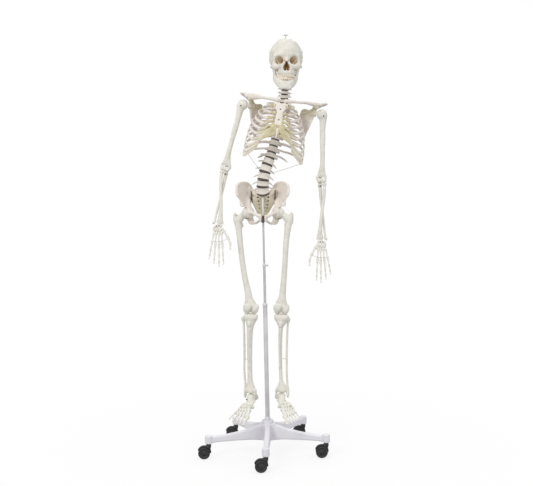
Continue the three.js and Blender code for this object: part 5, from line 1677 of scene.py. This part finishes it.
def hand_skins(length):
    """Wrist bones, palm and finger bones, the dark pins between them, and the spring across the palm."""
    pebbles = [(-12, 0, -4.5, 8, 7, 7), (-1, 0, -3.5, 7, 7, 7), (9, 0, -5.5, 6.5, 6.5, 6.5),
        (15, -3, -11, 4.5, 4.5, 5), (-19, -1, -20, 7, 7, 8), (-10, 0, -21, 5.5, 7, 8.5),
        (0, 0, -20.5, 6.5, 8, 11), (12, 0, -21, 7.5, 7.5, 8.5)]
    parts = []
    for x, y, z, rx, ry, rz in pebbles:
        stone = Clay((x - rx - 3, y - ry - 3, z - rz - 3), (x + rx + 3, y + ry + 3, z + rz + 3), 1.0)
        stone.add(brick((x, y, z), (rx * 0.80, ry * 0.82, rz * 0.82), 4.0), 0)
        stone.add(ball((x, y, z), (rx * 0.90, ry * 0.9, rz * 0.88)), 3)
        parts.append(stone.skin())
    palm, pins = [], []
    for x, reach, spread in FINGERS:
        line = [(PALM_SHARE, x), (KNUCKLES[0], x + spread * 0.45), (KNUCKLES[1], x + spread * 0.72),
            (KNUCKLES[2], x + spread * 0.88), (1.0, x + spread)]
        lengths = [-PALM_SHARE * length] + [-share * length * (1 - (1 - reach) * min(1.0, share + 0.25))
            for share, _ in line[1:]]
        ys = [0, -2.5, -5.5, -7.5, -8.5]
        spots = [np.array((place[1], y, z)) for place, y, z in zip(line, ys, lengths)]
        sizes = [(5.6, 3.1, 5.6), (5.2, 3.0, 4.4), (4.4, 2.6, 3.8), (3.8, 2.0, 3.0)]
        for i, (base, shaft, head) in enumerate(sizes):
            way = unit(spots[i + 1] - spots[i])
            start = spots[i] + way * (1.6 if i else 0)
            palm.append(small_bone(start, spots[i + 1] - way * 1.6, base, shaft, head, 0.92,
                arc=1.5 if i == 0 else 0.6))
            if i < 3:
                spot = spots[i + 1]
                pins.append(lathe([(3.2 - 0.4 * i, -3.2), (3.2 - 0.4 * i, 3.2)], 12, None, spot))
    thumb = [(-24, -4, -25), (-43, -9, -58), (-51, -12, -84), (-50, -15.5, -108)]
    for (a, b), (base, shaft, head) in zip(zip(thumb, thumb[1:]),
            [(7, 4.4, 6.6), (6.2, 4, 5), (5, 2.8, 3.6)]):
        way = unit(np.subtract(b, a))
        palm.append(small_bone(np.add(a, way * 1.4), np.subtract(b, way * 1.4), base, shaft, head, 0.9))
        pins.append(lathe([(2.8, -3.2), (2.8, 3.2)], 12, None, b if b != thumb[-1] else a))
    spring = [(-38, -10, -62, 0.7), (-17, -9, -70, 0.7), (-6, -9, -71, 0.7), (8, -8.6, -70, 0.7),
        (22, -7, -67, 0.7)]
    for x in (-6, 4):
        pins.append(lathe([(2.2, -8), (2.2, 0), (1.6, 1)], 12, TO_FRONT, (x, -5.8, -4.5)))
    return joined(parts), joined(palm), joined(pins), sweep(spring, Z, 3, 8)


def build_arms():
    lengths = {name: np.linalg.norm(np.subtract(SHOULDER[name], ELBOW[name])) for name in SIDES}
    fore = {name: np.linalg.norm(np.subtract(ELBOW[name], WRIST[name])) for name in SIDES}
    upper_skin = humerus_skin(lengths["left"])
    ulna, radius = ulna_skin(fore["left"]), radius_skin(fore["left"])
    hand = hand_skins(HAND_LENGTH)
    pin = cross_pin(3)
    screw = screw_skin(3.2, 6, TO_FRONT, (0, 0, 0))
    for name in SIDES:
        side = SIGN[name]
        upper = bone_place(SHOULDER[name], ELBOW[name])
        piece(f"humerus_{name}_bone", upper_skin, LONG_BONE, f"upper_arm_{name}", [f"humerus_{name}"],
            place=upper, side=side, stretch=lengths[name] / lengths["left"])
        piece(f"shoulder_pin_{name}_rod", pin, FITTING_STEEL, f"shoulder_cross_{name}",
            [f"shoulder_pin_{name}"], upper, side, cavity=False)
        piece(f"shoulder_screw_{name}", (screw[0] + (5, -20.4, -12), screw[1]), DARK_PIN,
            f"upper_arm_{name}", (), upper, side, cavity=False)
        lower = bone_place(ELBOW[name], WRIST[name])
        ratio = fore[name] / fore["left"]
        piece(f"ulna_{name}_bone", ulna, LONG_BONE, f"forearm_{name}", [f"ulna_{name}"], place=lower,
            side=side, stretch=ratio)
        piece(f"radius_{name}_bone", radius, LONG_BONE, f"forearm_{name}", [f"radius_{name}"], place=lower,
            side=side, stretch=ratio)
        piece(f"elbow_screw_{name}", (screw[0] + (-6, -11.5, -24), screw[1]), DARK_PIN, f"forearm_{name}",
            (), lower, side, cavity=False)
        palm = bone_place(WRIST[name], FINGERTIP[name])
        wrist_bones, finger_bones, pins, spring = hand
        piece(f"hand_spring_{name}", spring, FITTING_STEEL, f"hand_{name}", (), palm, side,
            cavity=False)
        piece(f"wrist_bones_{name}", wrist_bones, LONG_BONE, f"hand_{name}", [f"hand_{name}"], place=palm,
            side=side)
        piece(f"finger_bones_{name}", finger_bones, LONG_BONE, f"hand_{name}", place=palm, side=side)
        piece(f"hand_pins_{name}", pins, DARK_PIN, f"hand_{name}", (), palm, side, cavity=False)


# ---- legs
FOOT_LENGTH = 160
THIGH_DRIFT = {"right": 7, "left": 0}
SHIN_DRIFT = {"right": 5, "left": -6}
SHIN_SLIM = {"right": 0.88, "left": 0.62}
FIBULA_X = {"right": 38, "left": 29}
FIBULA_BOW = {"right": 0, "left": 5}
SHIN_CLIP_UP = 158
KNEE_CAP_X = {"right": 2, "left": -9}
TOE_SPLAY = {"right": 2.0, "left": 1.45}
ANKLE_SCREW_X = {"right": 8, "left": -4}


def femur_skin(length, drift):
    """Ball head, neck, two trochanters, a bowed shaft with a rear ridge, two condyles and their groove.
    drift carries the upper shaft outwards."""
    clay = Clay((-44, -34, -length - 26), (62, 40, 34), 1.9)
    # head and neck
    clay.add(ball((0, 0, 0), 23.4), 0)
    clay.add(limb([(6, 0, -4, 13, 14), (20, 1, -11, 11.5, 14), (36, 4, -24, 15, 17)], FRONT), 4)
    # large and small trochanter, and the ridge between them
    clay.add(limb([(52 + drift, 9, -4, 6, 9), (51 + drift, 8, -18, 9, 15),
        (46 + drift * 0.6, 6, -38, 12, 15)]), 6)
    clay.add(ball((25 + drift * 0.8, 14, -52), (7, 8, 9)), 7)
    clay.add(limb([(44 + drift * 0.6, 14, -10, 3, 4), (27 + drift * 0.8, 18, -50, 3, 4)]), 6)
    # shaft with its rear ridge
    clay.add(limb([(41 + drift * 0.4, 5, -32, 17, 15), (37 + drift * 0.7, 3, -58, 14.5, 13.5),
        (32 + drift, 1, -92, 12.6, 13), (27 + drift, -3, -length * 0.34, 11.8, 13),
        (22 + drift * 0.8, -5, -length * 0.5, 11.6, 13), (15 + drift * 0.5, -4, -length * 0.68, 12, 13),
        (9, -3, -length * 0.80, 13.6, 13.5), (5, -2.5, -length * 0.885, 17, 14),
        (2, -2, -length + 30, 24, 14.5), (0, -0.5, -length + 13, 29, 15)]), 6)
    clay.add(limb([(28 + drift, 14, -80, 3, 4), (20 + drift, 10, -length * 0.5, 3, 4.5),
        (13, 11, -length * 0.72, 3)]), 6)
    # two condyles, the block between them and their side bumps
    for x in (-17.5, 17.5):
        clay.add(ball((x, 0, -length + 0.4), (15, 19, 18.8)), 4)
    clay.add(ball((0, -8, -length + 8), (23, 14, 20)), 4)
    clay.add(ball((-29, 3, -length + 10), (6, 11, 12)), 6)
    clay.add(ball((28, 3, -length + 10), (6, 11, 11)), 6)
    # groove of the kneecap, rear notch, and the hole for the pin
    clay.cut(limb([(0, -27, -length + 30, 6, 5), (0, -25, -length + 4, 6, 4),
        (0, -16, -length - 22, 6, 4)]), 6)
    clay.cut(ball((0, 16, -length - 8), (6.5, 24, 15)), 3)
    clay.cut(limb([(-30, 0, 0, 3.6), (-8, 0, 0, 3.6)], Z), 0.5)
    return clay.skin()


def tibia_skin(length, drift, slim, seat_x):
    """Two shallow platforms, the front knob and crest, a three-sided shaft and the inner ankle.
    drift carries the shaft outwards, slim narrows it, seat_x is where the fibula's head rests."""
    clay = Clay((-42, -32, -length - 8), (44, 32, -11), 1.8)
    for x in (-15, 15):
        clay.add(ball((x, 0, -32), (16.5, 20.5, 16)), 4)
    # shaft, from the platforms to the ankle
    clay.add(limb([(0, 0, -33, 29, 21), (0, 0, -46, 24, 20), (drift * 0.4, 0, -70, 17.5 * slim, 18),
        (drift * 0.8, 0, -112, 14 * slim, 8 + 7 * slim),
        (drift, 2, -length * 0.5, 12.4 * slim, 7 + 6.5 * slim),
        (drift * 0.8, 2, -length * 0.7, 11.6 * slim, 7 + 5.4 * slim),
        (drift * 0.4, 1, -length * 0.84, 13 * slim + 1, 13.5), (0, 0, -length + 38, 19, 15),
        (0, 0, -length + 26, 23, 17)]), 6)
    # front knob and crest
    clay.add(limb([(0, -19, -54, 7, 5), (0, -20, -66, 6, 5)]), 6)
    clay.add(limb([(0, -16, -80, 3, 5), (drift, -12, -length * 0.42, 2.6, 5),
        (drift, -9, -length * 0.66, 2.6, 4)]), 6)
    # inner ankle, and the seat of the fibula's head
    clay.add(limb([(-21, -2, -length + 28, 6, 11), (-24, -3, -length + 15, 4.4, 9),
        (-24, -3, -length + 7, 2.8, 5)]), 4)
    clay.add(ball((seat_x - 10, 7, -36), (7, 9, 8)), 5)
    # flat top with two cups, and the vault over the ankle
    clay.cut(brick((0, 0, -7), (60, 50, 10), 1), 2)
    for x in (-17, 17):
        clay.cut(ball((x, 0, 0), (16, 20.8, 20.2)), 2)
        clay.cut(ball((0, 0, -length), (18.5, 24, 15.5)), 2)
    return clay.skin()


def fibula_skin(length, head_x, bow):
    """A thin bone outside the tibia, knobbed at both ends; bow carries its middle inwards."""
    clay = Clay((0, -14, -length - 22), (58, 36, -26), 1.4)
    middle_x = (head_x + FIBULA_MIDDLE_X) / 2 - bow
    clay.add(limb([(head_x, 9, -41, 8), (head_x - 1, 9, -49, 7, 7.5), (head_x - 3, 8, -62, 4.8, 5),
        (middle_x + 2, 7, -length * 0.3, 5, 5.2), (middle_x, 6, -length * 0.5, 4.8, 5.2),
        (middle_x, 5, -length * 0.72, 4.6, 5), (25 - bow * 0.3, 4, -length * 0.88, 5.2, 6),
        (25, 4, -length + 18, 7, 9), (26, 4, -length + 2, 6, 9), (25.5, 5, -length - 8, 3.4, 5)]), 0)
    clay.add(limb([(head_x + 1, 11, -38, 3), (head_x + 1, 12, -33, 2, 2.4)]), 3)
    return clay.skin()


TOES = [(-21, 11.4, 1.0), (-8, 7.2, 1.0), (3, 6.8, 0.95), (14, 6.6, 0.89), (25, 6.6, 0.80)]


def foot_skins(length, splay, screw_x):
    """Seven ankle bones as separate shapes, then the long foot bones and toes, then springs and a screw."""
    ankle = []

    def stone(low, high, *steps):
        clay = Clay(low, high, 1.5)
        for kind, shape, blend in steps:
            getattr(clay, kind)(shape, blend)
        ankle.append(clay.skin())

    stone((-38, -50, -32), (22, 24, 16), ("add", ball((0, 0, -3), (15.5, 17, 13.5)), 0),
        ("add", limb([(-2, -10, -6, 14, 12), (-8, -26, -12, 13, 11), (-13, -37, -17, 16, 12)]), 4),
        ("add", ball((-18, -18, -18), (10, 14, 10)), 6), ("add", ball((2, 14, -8), (11, 7, 6)), 4),
        ("cut", limb([(0, -18, 18, 4), (0, 16, 17, 4)], X), 4),
        ("cut", brick((0, 0, -30), (40, 40, 12), 2), 3))
    stone((-16, -42, -50), (24, 70, -10),
        ("add", limb([(6, -30, -27, 10, 8), (7, -8, -26, 12, 9), (5, 16, -27, 12), (4, 36, -29, 12, 15),
        (3, 50, -31, 12, 15)]), 0), ("add", ball((-8, -6, -22), (8, 10, 4)), 3),
        ("add", ball((3, 54, -38), (11, 9, 9)), 4), ("cut", ball((0, -2, -6), (17, 18, 13.5)), 2))
    stone((-40, -62, -38), (16, -36, 2), ("add", brick((-11, -50, -17), (20, 5.5, 12), 5), 0),
        ("add", ball((-29, -50, -23), (7, 7, 8)), 3))
    stone((-2, -68, -42), (34, -28, -6), ("add", brick((16, -47, -25), (11, 15, 10), 6), 0),
        ("add", ball((22, -50, -30), (7, 8, 6)), 3))
    for x, z, wide in ((-18, -21, 7.6), (-5, -18, 6.2), (6, -20, 6.0)):
        stone((x - 12, -76, z - 14), (x + 12, -52, z + 12),
            ("add", brick((x, -64, z), (wide, 8.6, 9.5), 3.5), 0),
            ("add", ball((x, -64, z + 3), (wide, 8, 8)), 2))
    toes, springs = [], []
    for index, (x, wide, reach) in enumerate(TOES):
        great = index == 0
        base = np.array((x * 0.98, -74 + (6 if index == 4 else 0), -22 - abs(x) * 0.1))
        fan = 1 + (splay - 1) * (0.6 if x > 0 else 0.45)
        ball_of_toe = np.array((x * (1 + (fan - 1) * 0.9), -length * 0.72 * reach, -36))
        tip = np.array((x * (splay if x > 0 else 1.45), -length * reach, -44))
        sizes = (wide * 0.95, wide * 0.60, wide * 0.92)
        toes.append(small_bone(base, ball_of_toe + (0, 1.2, 0), sizes[0] * 1.08, sizes[1], sizes[2], 1.0))
        shares = (0.0, 0.56, 1.0) if great else (0.0, 0.46, 0.74, 1.0)
        shrink = 0.82 if great else 0.68
        for i, (a, b) in enumerate(zip(shares, shares[1:])):
            lift = (0, 0, 1.5 * math.sin(math.pi * a))
            start = ball_of_toe + (tip - ball_of_toe) * a + lift + (0, -1.2, 0)
            end = ball_of_toe + (tip - ball_of_toe) * b + (0, 1.0 if b < 1 else 0,
                1.5 * math.sin(math.pi * b))
            size = wide * shrink * (1 - 0.14 * i)
            toes.append(small_bone(start, end, size, size * 0.62, size * 0.8, 0.9))
        springs.append(sweep([(*(ball_of_toe + (0, 4, 2)), 1.1), (*(ball_of_toe + (0, -5, 2)), 1.1)], X, 2,
            10))
        springs.append(sweep([(*(base + (0, 8, 0)), 1.2), (*(base + (0, -6, -1)), 1.2)], X, 2, 10))
    springs.append(screw_skin(4.4, 9, TO_FRONT, (screw_x, -22, -6)))
    return joined(ankle), joined(toes), joined(springs)


def patella_skin():
    """The kneecap, with two shallow seats behind."""
    clay = Clay((-24, -14, -28), (24, 12, 26), 1.2)
    clay.add(ball((0, 0, 1), (16.5, 8, 15)), 0)
    clay.add(ball((0, 0, -11), (8, 5.5, 9)), 8)
    clay.cut(ball((-9, 13, 4), (10, 8, 14)), 3)
    clay.cut(ball((9, 13, 4), (10, 8, 14)), 3)
    return clay.skin()


def build_legs():
    thigh = {name: np.linalg.norm(np.subtract(HIP[name], KNEE[name])) for name in SIDES}
    shin = {name: np.linalg.norm(np.subtract(KNEE[name], ANKLE[name])) for name in SIDES}
    knee_cap = patella_skin()
    pin = cross_pin(3.5)
    for name in SIDES:
        side = SIGN[name]
        front = turned_front(LEG_TURN[name])
        upper = bone_place(HIP[name], KNEE[name], front)
        femur = femur_skin(thigh[name], THIGH_DRIFT[name])
        piece(f"femur_{name}_bone", femur, LONG_BONE, f"thigh_{name}", [f"femur_{name}"], place=upper,
            side=side)
        piece(f"hip_pin_{name}_rod", pin, FITTING_STEEL, f"hip_cross_{name}", [f"hip_pin_{name}"],
            upper, side, cavity=False)
        piece(f"patella_{name}_bone", knee_cap, LONG_BONE, f"thigh_{name}", [f"patella_{name}"],
            place=upper.at((side * KNEE_CAP_X[name], -31, 16 - thigh[name])), side=side)
        lower = bone_place(KNEE[name], ANKLE[name], front)
        tibia = tibia_skin(shin[name], SHIN_DRIFT[name], SHIN_SLIM[name], FIBULA_X[name])
        piece(f"tibia_{name}_bone", tibia, LONG_BONE, f"shin_{name}", [f"tibia_{name}"], place=lower,
            side=side)
        piece(f"fibula_{name}_bone", fibula_skin(shin[name], FIBULA_X[name], FIBULA_BOW[name]), LONG_BONE,
            f"shin_{name}", [f"fibula_{name}"], place=lower, side=side)
        clip = sweep([(SHIN_DRIFT[name] + 9 * SHIN_SLIM[name], 3, SHIN_CLIP_UP - shin[name], 2.2, 1.2),
            ((FIBULA_X[name] + FIBULA_MIDDLE_X) / 2 - FIBULA_BOW[name] - 3, 6, SHIN_CLIP_UP - shin[name],
            2.2, 1.2)], Z, 2, 8)
        piece(f"shin_clip_{name}", clip, LONG_BONE, f"shin_{name}", (), lower, side)
        sole = Place(ANKLE[name], turn("x", FOOT_DROP) @ turn("z", FOOT_TURN[name]))
        ankle_bones, toe_bones, springs = foot_skins(FOOT_LENGTH, TOE_SPLAY[name], ANKLE_SCREW_X[name])
        piece(f"ankle_bones_{name}", ankle_bones, LONG_BONE, f"foot_{name}", [f"foot_{name}"], place=sole,
            side=side)
        piece(f"toe_bones_{name}", toe_bones, LONG_BONE, f"foot_{name}", place=sole, side=side)
        piece(f"foot_springs_{name}", springs, DARK_PIN, f"foot_{name}", (), sole, side,
            cavity=False)


# ---- floor, light and camera
SKY_LIGHT = 0.88
GROUND_LIGHT = 0.36


def build_studio():
    floor_mesh = bpy.data.meshes.new("floor")
    reach = FLOOR_REACH * MM
    floor_mesh.from_pydata([(-reach, -reach, 0), (reach, -reach, 0), (reach, reach, 0), (-reach, reach, 0)],
        [], [(0, 1, 2, 3)])
    floor = bpy.data.objects.new("floor", floor_mesh)
    scene.collection.objects.link(floor)
    paint = Paint("studio_floor")
    paint.shader.inputs["Base Color"].default_value = (0.93, 0.93, 0.93, 1)
    paint.shader.inputs["Roughness"].default_value = 0.8
    paint.shader.inputs["Specular IOR Level"].default_value = 0.1
    glow = paint.node("ShaderNodeEmission")
    glow.inputs["Color"].default_value = (1, 1, 1, 1)
    glow.inputs["Strength"].default_value = 1.0
    length = paint.node("ShaderNodeVectorMath", operation="LENGTH")
    paint.link(paint.place, length.inputs[0])
    far = paint.value(length.outputs["Value"], 0.25, 1.4, 0.80, 1.0)
    blend = paint.node("ShaderNodeMixShader")
    paint.link(far, blend.inputs["Fac"])
    paint.link(paint.shader.outputs["BSDF"], blend.inputs[1])
    paint.link(glow.outputs["Emission"], blend.inputs[2])
    output = paint.tree.nodes["Material Output"]
    paint.link(blend.outputs["Shader"], output.inputs["Surface"])
    floor_mesh.materials.append(paint.material)
    floor.visible_diffuse = False
    floor.visible_glossy = False

    world = bpy.data.worlds.new("studio")
    scene.world = world
    world.use_nodes = True
    background = world.node_tree.nodes["Background"]
    background.inputs["Color"].default_value = (1, 1, 1, 1)
    add, link = world.node_tree.nodes.new, world.node_tree.links.new
    seen = add("ShaderNodeLightPath")
    direction = add("ShaderNodeTexCoord")
    parts = add("ShaderNodeSeparateXYZ")
    link(direction.outputs["Generated"], parts.inputs["Vector"])
    dome = add("ShaderNodeMapRange")
    for key, number in zip(("From Min", "From Max", "To Min", "To Max"), (-1, 1, GROUND_LIGHT, SKY_LIGHT)):
        dome.inputs[key].default_value = number
    link(parts.outputs["Z"], dome.inputs["Value"])
    level = add("ShaderNodeMix")
    level.inputs["B"].default_value = 1.0
    link(seen.outputs["Is Camera Ray"], level.inputs["Factor"])
    link(dome.outputs["Result"], level.inputs["A"])
    link(level.outputs["Result"], background.inputs["Strength"])
    lights = [
        ("key", (-2.4, -3.4, 3.2), 2.0, 66, (1.0, 0.985, 0.96)),
        ("fill", (3.2, -2.6, 1.8), 2.4, 20, (0.96, 0.98, 1.0)),
        ("rim", (0.6, 3.2, 3.2), 2.0, 18, (1, 1, 1)),
    ]
    for name, place, size, power, colour in lights:
        data = bpy.data.lights.new(name, "AREA")
        data.shape = "DISK"
        data.size = size
        data.energy = power
        data.color = colour
        lamp = bpy.data.objects.new(name, data)
        scene.collection.objects.link(lamp)
        aim(lamp, place, (0.0, 0.0, 1.1))
    scene.view_settings.view_transform = "Standard"
    scene.view_settings.look = "None"


def aim(thing, place, target):
    thing.location = place
    thing.rotation_euler = (Vector(target) - Vector(place)).to_track_quat("-Z", "Y").to_euler()


def build_camera():
    """3.6 m in front of the stand and 1.1 m up, turned a little down; CAMERA_TURN is yaw, pitch and roll."""
    yaw, pitch, roll = (math.radians(angle) for angle in CAMERA_TURN)
    ahead = np.array([math.sin(yaw) * math.cos(pitch), math.cos(yaw) * math.cos(pitch), -math.sin(pitch)])
    right = np.array([math.cos(yaw), -math.sin(yaw), 0])
    up = np.cross(right, ahead)
    level_right = math.cos(roll) * right + math.sin(roll) * up
    level_up = -math.sin(roll) * right + math.cos(roll) * up
    data = bpy.data.cameras.new("camera")
    data.sensor_width = 36
    data.sensor_fit = "HORIZONTAL"
    data.lens = CAMERA_LENS
    data.clip_end = 100
    camera = bpy.data.objects.new("camera", data)
    scene.collection.objects.link(camera)
    rows = Matrix([level_right, level_up, -ahead]).transposed()
    camera.matrix_world = Matrix.Translation((np.array(CAMERA_SPOT) + POLE) * MM) @ rows.to_4x4()
    scene.camera = camera


build_camera()
build_studio()
build_stand()
build_pelvis()
build_spine()
build_thorax()
build_skull()
build_arms()
build_legs()
